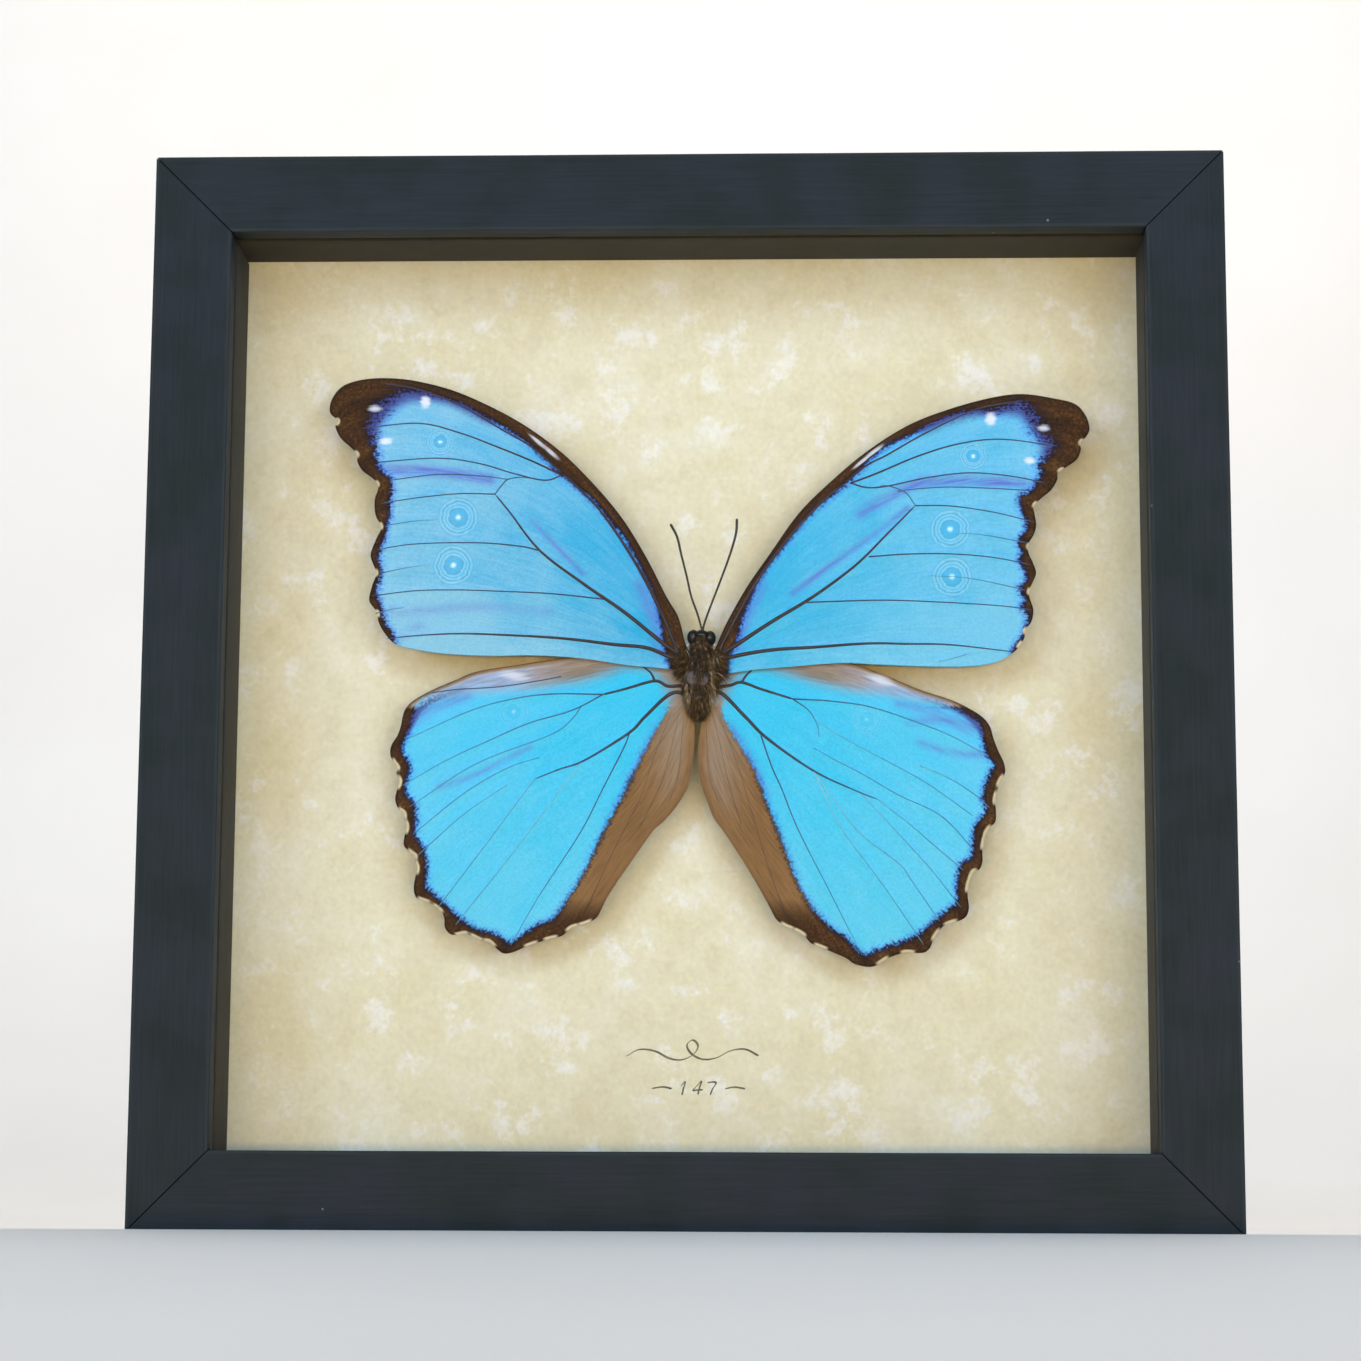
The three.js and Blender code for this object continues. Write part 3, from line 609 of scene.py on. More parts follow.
RIGHT_HINDWING = [
    (4, 104), (7, 106.5), (12, 108.6), (20, 108.7), (30, 107.6), (38, 104.7), (44, 102.2), (50, 100.2),
    (54, 98.2), (56.1, 96.7), (57.3, 95), (57.9, 92.8), (58.8, 90.4), (59.8, 88.2), (60, 86.2), (59.1, 84.8),
    (58.6, 83.2), (58.1, 81), (58.2, 79), (58.1, 77), (57.2, 76.1), (56.4, 75), (56, 73.6), (55.6, 71.4),
    (55.6, 69.5), (55, 68), (53.9, 67.6), (53.2, 66), (52.8, 64.2), (52.8, 62.6), (53, 60.8), (52.5, 59.2),
    (51.3, 58.4), (49.8, 58), (48.2, 57.3), (47.2, 56.2), (46.2, 54.6), (45.7, 53.3), (44.6, 52.4),
    (42.9, 52.3), (41.2, 52.4), (39.5, 52), (37.6, 51.2), (35.9, 50.1), (34.6, 49.7), (33.2, 49.8),
    (31.4, 50.3), (30, 51.3), (28.2, 52.1), (25.5, 53.2), (23.4, 54.1), (22.1, 55.5), (20.4, 56.5),
    (18.3, 57.4), (16.7, 58.8), (15.9, 60.6), (14, 64.1), (11.2, 68.8), (8, 73.7), (6.4, 76), (5, 77.9),
    (3.8, 81), (2.7, 84), (2.2, 85.9), (1.9, 88), (2, 91), (2.4, 94.5), (2.9, 97), (3.6, 100),
]

# %% [markdown]
# ## The blue fields
#
# The blue scales stop short of the edges. Each field is its own outline, and the shader asks how far a
# point is inside it. The parts of these outlines that lie outside the wing only close the loop.

# %% Blue fields of the forewings
LEFT_FORE_BLUE = [
    (-4.5, 112), (-5.2, 116), (-6.2, 120), (-8, 124), (-9.8, 127.5), (-12, 131.5), (-14.5, 134.5),
    (-17.5, 138.2), (-20, 140.5), (-24.2, 143.8), (-28, 147.6), (-32, 151), (-36, 153.6), (-40, 155.8),
    (-44, 157.9), (-48, 159.3), (-52, 160.2), (-55, 160.2), (-58, 158.5), (-60, 156), (-61.4, 153.5),
    (-60.6, 150), (-60, 147), (-59.5, 145), (-57.3, 143), (-57, 141), (-57.3, 138), (-57.5, 135),
    (-58.5, 131), (-59.2, 128), (-58.8, 124.5), (-59.6, 121), (-58.4, 117.5), (-57.8, 115), (-56.2, 112.6),
    (-55, 108), (-50, 104), (-30, 103), (-10, 103), (-3.5, 105), (-4, 108.7),
]
RIGHT_FORE_BLUE = [
    (9.2, 111.2), (10.7, 116.5), (13.4, 123), (16, 127), (19.3, 131.2), (23, 135.8), (27.5, 139.8),
    (31, 142.6), (35, 147), (38, 149.3), (42, 151.2), (46, 153.3), (50, 155), (54, 156.1), (58, 156),
    (62, 157), (64, 157.5), (66, 155), (66.7, 153), (68, 151), (69.9, 149.2), (68.4, 147), (67.2, 145),
    (67.4, 143.5), (65.5, 140.2), (63.3, 139), (63.9, 136), (64.6, 133), (62.9, 130.3), (63.7, 128.5),
    (63.3, 126.5), (64.6, 123.5), (63.2, 121.2), (64.2, 119.5), (63.5, 117.7), (64.7, 116), (63.4, 112),
    (61.8, 109.8), (59, 104), (40, 102), (12, 102), (7.5, 104.5), (7.8, 108),
]

# %% Blue fields of the hindwings
LEFT_HIND_BLUE = [
    (-2, 101.5), (-3.5, 104.5), (-7, 107.5), (-12, 108), (-16, 106.6), (-20, 105.4), (-24, 104.8),
    (-28, 104.2), (-32, 103.6), (-36, 103.3), (-40, 103.2), (-44, 103), (-48, 101.4), (-51.5, 99.4),
    (-52.2, 97), (-53.2, 94), (-54.4, 91), (-53, 88.2), (-52.8, 86.5), (-53.6, 83), (-51.7, 80), (-51.4, 77),
    (-51.5, 74.5), (-50, 72), (-49.2, 68.5), (-49.3, 65), (-48.8, 64), (-46.2, 61.8), (-42, 57.9),
    (-38.5, 56.2), (-36.5, 55.8), (-33.5, 54), (-32.6, 54), (-31, 55.2), (-28, 57.3), (-25, 58.5),
    (-22.8, 61.5), (-19.4, 66.8), (-17.2, 71.8), (-14.4, 77.3), (-11.9, 82.1), (-9.7, 86.8), (-8.1, 90),
    (-6, 94), (-3.8, 98),
]
RIGHT_HIND_BLUE = [
    (6, 101.5), (7.5, 104.5), (11, 107.5), (16, 107.6), (20, 106.4), (26, 104.6), (32, 103.4), (38, 102.6),
    (44, 101.2), (50, 99), (54, 96.8), (55.3, 95.8), (56, 93), (56.6, 90), (58.2, 87.8), (57.3, 86.2),
    (55.9, 82.2), (56.4, 79), (55.5, 77.6), (54.3, 76), (54, 74), (53.7, 70.3), (51.8, 69), (50.8, 64.8),
    (50.8, 61.8), (48.8, 60), (46.2, 57.9), (43.5, 55.6), (40.5, 54.3), (36, 52.8), (33.7, 51.8),
    (31.8, 52.9), (29.5, 55.3), (27.3, 56.7), (24, 60), (21, 65), (19.2, 69.5), (17.4, 74.3), (14.9, 80.8),
    (12.5, 87), (9, 93), (6.8, 97),
]

# %% [markdown]
# ## Veins
#
# The veins are hollow tubes that stiffen the wing. Near the body they are thick and brown-black, and they
# thin out towards the margin, where some are only a pale line. Each entry gives the width at both ends, the
# tone at both ends (0 is brown-black, 1 is pale) and the points that the vein passes through.

# %% Vein routes of the forewings
LEFT_FORE_VEINS = [
    (0.8, 0.4, 0.0, 0.2, [(-1.5, 108.5), (-5, 117), (-10, 126.6), (-17, 137), (-24, 144)]),
    (0.4, 0.22, 0.15, 0.3, [(-24, 144), (-30, 149.2), (-36, 152.8), (-44, 157.5), (-52, 160.7), (-59, 162)]),
    (0.4, 0.22, 0.2, 0.35, [(-24, 143.6), (-30, 146.5), (-36, 149), (-44, 152.1), (-52, 154), (-63, 153)]),
    (0.32, 0.22, 0.3, 0.4, [(-24, 143.8), (-27.5, 142.7), (-34, 144.2), (-40, 146), (-48, 147.1),
        (-60, 146.3)]),
    (0.2, 0.2, 0.5, 0.35, [(-34.5, 142.9), (-40, 143.6), (-48, 143.9), (-57, 142.8)]),
    (0.25, 0.2, 0.4, 0.5, [(-37, 140), (-35.5, 142), (-34.5, 142.9), (-32, 143.3), (-27.5, 142.7)]),
    (0.26, 0.2, 0.3, 0.4, [(-37, 140), (-44, 140.1), (-52, 139.3), (-59, 138.2)]),
    (0.9, 0.3, 0.0, 0.3, [(-1, 108.5), (-5, 111.3), (-12, 117), (-20, 122.6), (-28.3, 129), (-34, 136.3),
        (-37, 140)]),
    (0.3, 0.2, 0.3, 0.4, [(-28.5, 129), (-32, 129.8), (-40, 130.5), (-52, 130.3), (-59.5, 129.2)]),
    (0.3, 0.2, 0.3, 0.4, [(-15.6, 119.5), (-26, 120.6), (-36, 121.1), (-44, 121.35), (-52, 121.2),
        (-60.3, 120.2)]),
    (0.14, 0.2, 0.75, 0.45, [(-48, 135), (-52, 134.8), (-58, 133.9)]),
    (0.14, 0.2, 0.75, 0.45, [(-50, 126.2), (-54, 125.6), (-59.2, 124.5)]),
    (0.14, 0.2, 0.75, 0.45, [(-54, 118), (-57, 117.5), (-59.6, 116.8)]),
    (0.85, 0.2, 0.0, 0.4, [(0, 107), (-4, 108.7), (-8, 110.2), (-14, 110.8), (-24, 112), (-36, 112.7),
        (-44, 112.9), (-52, 112.5), (-57.5, 111.9)]),
]
RIGHT_FORE_VEINS = [
    (0.8, 0.4, 0.0, 0.2, [(5.5, 108.5), (8.8, 115), (14, 124.2), (21, 133.4), (27, 139.6), (30, 141.8)]),
    (0.4, 0.22, 0.15, 0.3, [(30, 142), (34, 145.3), (38, 147.4), (44, 150.9), (50, 154), (56, 156.6),
        (64, 158)]),
    (0.4, 0.22, 0.2, 0.35, [(31, 141.9), (36, 143.8), (44, 147.2), (52, 149.6), (60, 150.4), (70.5, 149)]),
    (0.32, 0.22, 0.3, 0.4, [(31, 142), (34, 141.1), (38, 141.3), (46, 143), (54, 143.85), (62, 143.1),
        (68, 141.8)]),
    (0.2, 0.2, 0.5, 0.35, [(40, 140.3), (44, 140.8), (50, 141.1), (58, 140.8), (65.5, 140.3)]),
    (0.25, 0.2, 0.4, 0.5, [(36, 141), (38, 141.4), (41.5, 140.1), (43.4, 137.5)]),
    (0.26, 0.2, 0.3, 0.4, [(43.4, 137.5), (50, 137.4), (58, 136.2), (66, 134.2)]),
    (0.9, 0.3, 0.0, 0.3, [(5.5, 108.5), (9, 110.5), (16, 115.1), (24, 120), (32, 126), (38, 132),
        (43.4, 137.5)]),
    (0.3, 0.2, 0.3, 0.4, [(34.5, 127.6), (42, 128.1), (50, 128.1), (58, 127.4), (65, 126)]),
    (0.3, 0.2, 0.3, 0.4, [(22.3, 118.8), (28, 119), (38, 119.2), (50, 118.7), (60, 118), (65.3, 117.2)]),
    (0.14, 0.2, 0.75, 0.45, [(51, 132.1), (56, 131.8), (64.5, 130.2)]),
    (0.14, 0.2, 0.75, 0.45, [(46.2, 123.9), (54, 123.3), (64.5, 121)]),
    (0.14, 0.18, 0.7, 0.6, [(47.5, 107.3), (50, 107.9), (53, 108.8)]),
    (0.85, 0.2, 0.0, 0.4, [(4.5, 107), (9, 108.5), (16, 109.7), (24, 110.2), (34, 110.9), (42, 110.8),
        (50, 110.6), (62, 109.2)]),
]
print(f"{len(LEFT_FORE_VEINS)} and {len(RIGHT_FORE_VEINS)} veins in the forewings")

# %% Vein routes of the hindwings
LEFT_HIND_VEINS = [
    (0.22, 0.2, 0.4, 0.3, [(-24, 104.8), (-28, 104), (-36, 102.8), (-44, 102.3), (-49, 101.6)]),
    (0.7, 0.4, 0.0, 0.3, [(-1, 103), (-3.8, 102.9), (-6.2, 103.9), (-12, 102.3), (-16, 101.3)]),
    (0.5, 0.25, 0.1, 0.3, [(-6.2, 103.9), (-7, 105.5), (-9, 107)]),
    (0.3, 0.18, 0.4, 0.75, [(-16, 101.3), (-26, 101.4), (-34, 100.3), (-42, 97.9), (-53.5, 92.6)]),
    (0.3, 0.18, 0.45, 0.75, [(-16, 101.3), (-22, 98.2), (-30, 95.8), (-38, 92.3), (-46, 88.5), (-54, 83.8)]),
    (0.2, 0.18, 0.55, 0.7, [(-20, 99.2), (-22, 96.4), (-26, 93.5), (-40, 88), (-52.5, 79.8)]),
    (0.2, 0.18, 0.7, 0.6, [(-28, 89.2), (-34, 87.2), (-42, 82.5), (-51.5, 74.8)]),
    (0.18, 0.18, 0.8, 0.6, [(-34, 84), (-42, 78.5), (-51, 70.4)]),
    (0.82, 0.24, 0.05, 0.5, [(1, 101), (-3, 101.5), (-8, 97), (-11, 93.9), (-19.5, 88.6), (-24, 87),
        (-28.8, 85.1)]),
    (0.2, 0.18, 0.8, 0.65, [(-28.8, 85.1), (-38, 72.5), (-47, 60.5)]),
    (0.2, 0.18, 0.95, 0.7, [(-20, 88.2), (-24, 83), (-32, 72), (-43.5, 57.4)]),
    (0.28, 0.16, 0.35, 0.7, [(-11, 93.7), (-12, 91), (-16, 83), (-20, 75), (-28, 62.5), (-33, 53.6)]),
    (0.05, 0.09, 0.2, 0.15, [(-3, 98), (-6, 90), (-9, 81), (-14, 71), (-19, 60)]),
    (0.05, 0.09, 0.2, 0.15, [(-1.5, 98), (-3, 91), (-5, 84), (-9, 75.5)]),
    (0.05, 0.09, 0.2, 0.15, [(-0.6, 97), (-1.2, 91), (-1.6, 86), (-3.4, 80.5)]),
]
RIGHT_HIND_VEINS = [
    (0.7, 0.4, 0.0, 0.3, [(4.5, 102.6), (8, 103), (10.3, 103.6), (14, 102.3), (20, 100.4)]),
    (0.5, 0.25, 0.1, 0.3, [(10.3, 103.6), (11.5, 105.3), (13.5, 106.8)]),
    (0.3, 0.18, 0.4, 0.75, [(20, 100.4), (28, 99.9), (36, 98.5), (48.8, 93.8), (57, 89.4)]),
    (0.3, 0.18, 0.4, 0.7, [(20, 100.4), (23, 98.2), (24.6, 95.5), (25, 93)]),
    (0.18, 0.18, 0.8, 0.6, [(24.6, 96), (32, 91.6), (40, 87.3), (46, 83.8), (54, 78)]),
    (0.2, 0.2, 0.85, 0.55, [(44, 87.5), (49, 85.5), (54, 82.3), (57, 79.6)]),
    (0.2, 0.18, 0.7, 0.5, [(24, 91), (28, 88.7), (33, 86.1), (40, 82), (48, 78), (54.2, 71.4)]),
    (0.82, 0.24, 0.05, 0.5, [(3.5, 102), (6.5, 101.5), (11, 97), (15.2, 92.8), (24, 86.6), (32, 82.8),
        (36, 81.2)]),
    (0.2, 0.18, 0.8, 0.6, [(36, 81.2), (42, 76.5), (46, 73), (52, 67.8)]),
    (0.2, 0.18, 0.85, 0.6, [(33, 82.2), (42, 72.4), (46.5, 67.3), (51.5, 60.8)]),
    (0.2, 0.18, 0.95, 0.6, [(24, 86.4), (32, 75.5), (40, 69), (42, 66.3), (47.5, 58.2)]),
    (0.2, 0.18, 0.95, 0.6, [(24, 86.4), (29, 76), (34, 69), (38, 63.5), (44.5, 53.8)]),
    (0.28, 0.16, 0.35, 0.7, [(14, 93.4), (16, 87.5), (18, 83), (21, 75.5), (26.8, 64), (33, 51.8)]),
    (0.05, 0.09, 0.2, 0.15, [(6, 97.5), (9.5, 88), (12.5, 78), (15.5, 68), (18.6, 59.8)]),
    (0.05, 0.09, 0.2, 0.15, [(4.8, 97.5), (6.4, 91), (8, 84), (10.4, 76)]),
    (0.05, 0.09, 0.2, 0.15, [(3.6, 97), (3.8, 91), (4.2, 86), (6, 80.5)]),
]
print(f"{len(LEFT_HIND_VEINS)} and {len(RIGHT_HIND_VEINS)} veins in the hindwings")

# %% [markdown]
# ## The shape of a wing
#
# A wing is bounded by four curves: the leading edge, the trailing edge, the short root and the scalloped
# outer edge. A Coons patch fills such a frame: at any two shares u and v it adds the point between the
# leading and the trailing edge to the point between the root and the outer edge, and takes away the point
# between the four corners, which was counted twice. So its lines fan out from the root as the veins do.

# %% Patches and depths
BODY_X = 2.6
GAP_X = 2.2
FOREWING_LEVEL = 14.8
HINDWING_LEVEL = 15.6
TIP_RISE = 0.4
TIP_FALL = 0.3
CURL_DEPTH = 1.6
CURL_REACH = 9
CURL_TOP = 100
CURL_FADE = 8
WING_SPAN = 75
WING_LEVEL = 107
WING_CHORD = 56
WING_ARCH = 0.35
OUTLINE_STEPS = 6
ALONG_STEPS = 130
ACROSS_STEPS = 190


def coons_patch(outline, apex, tornus):
    """Grid of [x, z] points: between the long edges, plus between the short edges, minus the corners."""
    curve = spline(outline, OUTLINE_STEPS)
    leading = evenly(curve[:apex * OUTLINE_STEPS + 1], ALONG_STEPS)
    outer = evenly(curve[apex * OUTLINE_STEPS:tornus * OUTLINE_STEPS + 1], ACROSS_STEPS)
    trailing = evenly(curve[tornus * OUTLINE_STEPS:][::-1], ALONG_STEPS)
    root = np.linspace(curve[0], curve[-1], ACROSS_STEPS)
    u = np.linspace(0, 1, ALONG_STEPS)[:, None, None]
    v = np.linspace(0, 1, ACROSS_STEPS)[None, :, None]
    between_long = (1 - v) * leading[:, None] + v * trailing[:, None]
    between_short = (1 - u) * root[None] + u * outer[None]
    near = (1 - v) * leading[0] + v * trailing[0]
    far = (1 - v) * leading[-1] + v * trailing[-1]
    return between_long + between_short - (1 - u) * near - u * far


def arch(share):
    """A low arch over the chord of a wing: half a sine wave."""
    return WING_ARCH * np.sin(np.pi * np.clip(share, 0, 1))


def forewing_depth(x, z):
    """Depth behind the frame's front: the tips rise with the square of the span."""
    rise = TIP_RISE * ((x - BODY_X) / WING_SPAN) ** 2
    return FOREWING_LEVEL - rise - arch((z - WING_LEVEL) / WING_CHORD)


def hindwing_depth(x, z):
    """As for the forewing, but the tips fall, and the inner margins curl down beside the body."""
    near_body = np.clip(1 - np.abs(x - GAP_X) / CURL_REACH, 0, 1) ** 2
    curl = CURL_DEPTH * near_body * np.clip((CURL_TOP - z) / CURL_FADE, 0, 1)
    fall = TIP_FALL * ((x - BODY_X) / WING_SPAN) ** 2
    return HINDWING_LEVEL + fall + curl - arch((WING_LEVEL - z) / WING_CHORD)


# %% Distances
def distance_to(points, line):
    """The shortest way from each point to a line of stretches: the foot is clamped to each stretch."""
    start, step = line[:-1], np.diff(line, axis=0)
    shortest = []
    for some in np.array_split(points, max(1, len(points) // 4000)):
        from_start = some[:, None] - start[None]
        share = np.clip((from_start * step).sum(-1) / np.maximum((step**2).sum(-1), 1e-9), 0, 1)
        shortest.append(np.linalg.norm(from_start - share[..., None] * step, axis=-1).min(axis=1))
    return np.concatenate(shortest)


def inside(points, loop):
    """Whether a ray to the right of each point crosses the loop an odd number of times."""
    x, z = points[:, :1], points[:, 1:]
    (x0, z0), (x1, z1) = loop.T, np.roll(loop, -1, axis=0).T
    crosses = (z0 > z) != (z1 > z)
    rise = np.where(np.abs(z1 - z0) < 1e-9, 1e-9, z1 - z0)
    return (crosses & (x < x0 + (z - z0) * (x1 - x0) / rise)).sum(axis=1) % 2 == 1


def depth_inside(points, outline):
    """Millimetres inside a closed outline, negative outside it."""
    loop = spline(outline + outline[:1], 3)
    return np.where(inside(points, loop[:-1]), 1, -1) * distance_to(points, loop)


# %% [markdown]
# ## Marks on the wings
#
# White flecks lie near the tips and on the leading edge. Each forewing has three eyespots that show through
# from the underside as pale rings, and violet light lies along the folds. A fleck is a tilted ellipse, an
# eyespot a centre and a radius, and a violet band a width, a strength and a route. Pale fringe sits in the
# notches of the outer edge. The blue thins out slowly around the wing tip, where it is dimmed by a violet
# dusk, which has a width and a route too.

# %% Marks of the forewings
LEFT_FORE_MARKS = {
    "flecks": [(-60.5, 157, 1.6, 0.8, 0), (-50.7, 158.3, 1.1, 1.6, 0), (-58.2, 150.5, 1.5, 0.8, 0),
               (-28.8, 150.2, 2.9, 0.4, -41), (-26.4, 148.2, 2.6, 0.45, -42)],
    "eyes": [(-47.7, 150.3, 2.8), (-44, 135.5, 4.2), (-44.8, 126.2, 4.2)],
    "violet": [(1.1, 0.9, [(-61, 145), (-54, 144.7), (-46, 144.2), (-38, 142.9)]),
               (1.3, 0.6, [(-5, 110), (-6.5, 116), (-9, 122)]),
               (0.5, 0.7, [(-30, 135), (-24, 128.6), (-20, 124.5)]),
               (1.1, 0.3, [(-57, 117), (-50, 117.3), (-44, 118), (-36, 118), (-26, 117)]),
               (1.2, 0.25, [(-55, 112), (-51, 114.5)])],
    "fringe": [(-67.6, 154.4), (-63.9, 147.9), (-59.9, 142), (-59, 133.8), (-59.8, 124.7), (-59.3, 116.8)],
    "dusk": (2.3, [(-62, 151), (-60, 156), (-55, 159.5), (-47, 159.6), (-38, 155.5)]),
    "fringe_size": 0.6,
    "tip": (-62, 158, 3.2),
}
RIGHT_FORE_MARKS = {
    "flecks": [(57.9, 154.4, 1.2, 1.6, 0), (68, 152.6, 1.4, 0.8, 0), (65.2, 146.2, 1.2, 0.8, 0),
               (35.4, 148, 2.9, 0.4, 38), (33.3, 146.2, 2.6, 0.4, 39)],
    "eyes": [(54.5, 147.1, 2.8), (50, 132.9, 4.2), (50.3, 123.7, 4.2)],
    "violet": [(1.1, 0.8, [(33, 136), (38, 139), (44, 141.8), (52, 142.3), (64, 141.9)]),
               (1.3, 0.6, [(9.5, 110), (11, 116), (14, 122)]),
               (0.6, 0.8, [(20, 120.6), (28, 126.6), (36, 132.4), (42, 137)]),
               (1.0, 0.5, [(66, 142), (65, 132), (65, 122)])],
    "fringe": [(75.2, 149.7), (71.2, 144.2), (66.3, 137.5), (65.1, 129.5), (65.1, 120.8), (64.3, 113.2),
               (63, 110.6)],
    "dusk": (2.3, [(69.5, 148), (67.5, 153), (63, 156.8), (54, 156.3), (45, 153.4)]),
    "fringe_size": 0.6,
    "tip": (69, 155, 3.0),
}

# %% Marks of the hindwings
LEFT_HIND_MARKS = {
    "flecks": [(-33, 105, 3.4, 1.1, -8)],
    "eyes": [(-33, 98, 3.2)],
    "violet": [(1.2, 0.6, [(-52, 96), (-48, 99), (-42, 101.4)]), (0.9, 0.5, [(-6, 95), (-9, 88), (-13, 80)]),
               (0.7, 0.45, [(-47, 83.5), (-40, 86), (-30, 91)])],
    "fringe": [(-55.1, 88), (-54.8, 84.5), (-53.8, 78.6), (-53.1, 76), (-51.6, 71), (-51, 68.3),
               (-49.6, 61.9), (-47, 60.4), (-42.3, 55.7), (-39.5, 55.1), (-37, 54.1), (-29.2, 53.8),
               (-25.5, 55), (-21.5, 57), (-19, 57.7)],
    "dusk": (0.9, [(-43, 102.6), (-50, 99.5), (-53.5, 94)]),
    "fringe_size": 1.0,
    "tip": (-51, 99, 0),
}
RIGHT_HIND_MARKS = {
    "flecks": [(36.6, 104, 3.2, 1.1, -20)],
    "eyes": [(34, 96.5, 3.2)],
    "violet": [(1.0, 0.45, [(40, 99.5), (47, 98), (54, 95)]), (0.9, 0.45, [(42, 96), (48, 96.2), (54, 94)]),
               (0.9, 0.6, [(44, 92), (50, 90), (56, 89.8)]), (0.9, 0.5, [(8.5, 95), (12, 89), (15, 82)])],
    "fringe": [(59.2, 84.7), (58.3, 81.5), (56.5, 75.2), (55.9, 73), (53.5, 67.2), (52.9, 65), (49.5, 58),
               (46.8, 55.7), (41.5, 52.5), (36.8, 50.8), (25.2, 53.4), (21.3, 56.1), (18.9, 57.2)],
    "dusk": (0.9, [(45, 101), (52, 98.2), (56.8, 93)]),
    "fringe_size": 1.0,
    "tip": (53, 97.5, 0),
}


# %% Fields that the finish reads
# The smooth strip on a hindwing's leading edge starts at a height and ends at a distance from the body. A
# wing whose outline starts above STRIP_ROOT has none. The lobes have a top, a foot, a reach from the gap and
# a rim in which they darken, partly their own colour and partly painted shade of their curl.
TIP_SPREAD = 60
FLECK_FLOOR = -3
STRIP_FOOT = 98
STRIP_FADE = 3
STRIP_END = 54
STRIP_END_FADE = 7
STRIP_ROOT = 105
LOBE_TOP = 99
LOBE_FOOT = 57
LOBE_FOOT_FADE = 6
LOBE_REACH = 32
LOBE_REACH_FADE = 3
LOBE_SHADED_RIM = 3


def ellipse_depth(points, x, z, wide, high, tilt):
    """How far inside a tilted ellipse: 1 at its middle, 0 on its edge."""
    turn = np.radians(tilt)
    across = (points[:, 0] - x) * np.cos(turn) + (points[:, 1] - z) * np.sin(turn)
    up = (points[:, 1] - z) * np.cos(turn) - (points[:, 0] - x) * np.sin(turn)
    return 1 - np.sqrt((across / wide) ** 2 + (up / high) ** 2)


def soft_line(points, wide, line):
    """1 on a line through some points, and a bell curve of a half width beside it."""
    return np.exp(-(distance_to(points, spline(line, 4)) / wide) ** 2)


def wing_fields(flat, outline, blue, marks):
    """The numbers per point that the finish reads. Near the tip the way into the blue is stretched."""
    x, z = flat.T
    tip_x, tip_z, slack = marks["tip"]
    strip = np.clip((z - STRIP_FOOT) / STRIP_FADE, 0, 1) * (outline[0][1] < STRIP_ROOT)
    stretch = 1 + slack * np.exp(-((x - tip_x) ** 2 + (z - tip_z) ** 2) / TIP_SPREAD) + 3 * strip
    violet = sum(strength * soft_line(flat, wide, line) for wide, strength, line in marks["violet"])
    fleck = np.max([ellipse_depth(flat, *fleck) for fleck in marks["flecks"]], axis=0)
    notch = np.min([np.hypot(x - nx, z - nz) for nx, nz in marks["fringe"]], axis=0)
    return {
        "blue": depth_inside(flat, blue) / stretch,
        "rim": distance_to(flat, spline(outline + outline[:1], 3)),
        "fleck": np.maximum(fleck, FLECK_FLOOR),
        "eye": np.min([np.hypot(x - ex, z - ez) / r for ex, ez, r in marks["eyes"]], axis=0),
        "violet": np.clip(violet, 0, 1),
        "notch": notch / marks["fringe_size"],
        "dusk": soft_line(flat, *marks["dusk"]),
        "soft": strip * np.clip((STRIP_END - np.abs(x - BODY_X)) / STRIP_END_FADE, 0, 1),
    }


def bare_skin(flat, rim):
    """Scaleless hindwing tone: lobes beside the body up to 0.6, with partly painted light and shade, the
    strip more.
    """
    x, z = flat.T
    beside = np.abs(x - GAP_X)
    # Each lobe is paler in its middle and darker near its outline and the gap: partly its own taupe, partly
    # painted highlight and shade of the curled lobe.
    inner = np.clip(1 - beside / 16 - (LOBE_TOP - z) / 75, 0, 1) * np.clip(rim / LOBE_SHADED_RIM, 0.3, 1)
    within = np.clip((z - LOBE_FOOT) / LOBE_FOOT_FADE, 0, 1)
    within *= np.clip((LOBE_REACH - beside) / LOBE_REACH_FADE, 0, 1)
    strip = (0.6 + 0.4 * np.clip((beside - 24) / 12, 0, 1)) * np.clip(rim / 0.9, 0, 1)
    return np.where(z > LOBE_TOP, strip, (0.1 + 0.5 * inner) * within)


# %% [markdown]
# ## Wing scales
#
# The blue is no pigment. The upper scales are ridged like a grating and throw back blue light like a satin
# metal, so the finish is partly metallic and moderately smooth. The scales lie in rows, so the blue thins
# out at its edges in a feathered comb, first violet, then brown-black. Real rows are about 0.1 mm apart,
# too fine to show here, so they are drawn 0.4 mm apart. Underneath lies a brown membrane, which shows bare
# on the margins and, in warm taupe, beside the body.


# %% Patterns and blue of the scales
FIELDS = ("blue", "rim", "fleck", "eye", "violet", "notch", "dusk", "soft", "u", "v", "bare", "under")
ROW_STRETCH = (13, 117)
FOLD_STRETCH = (3, 18)


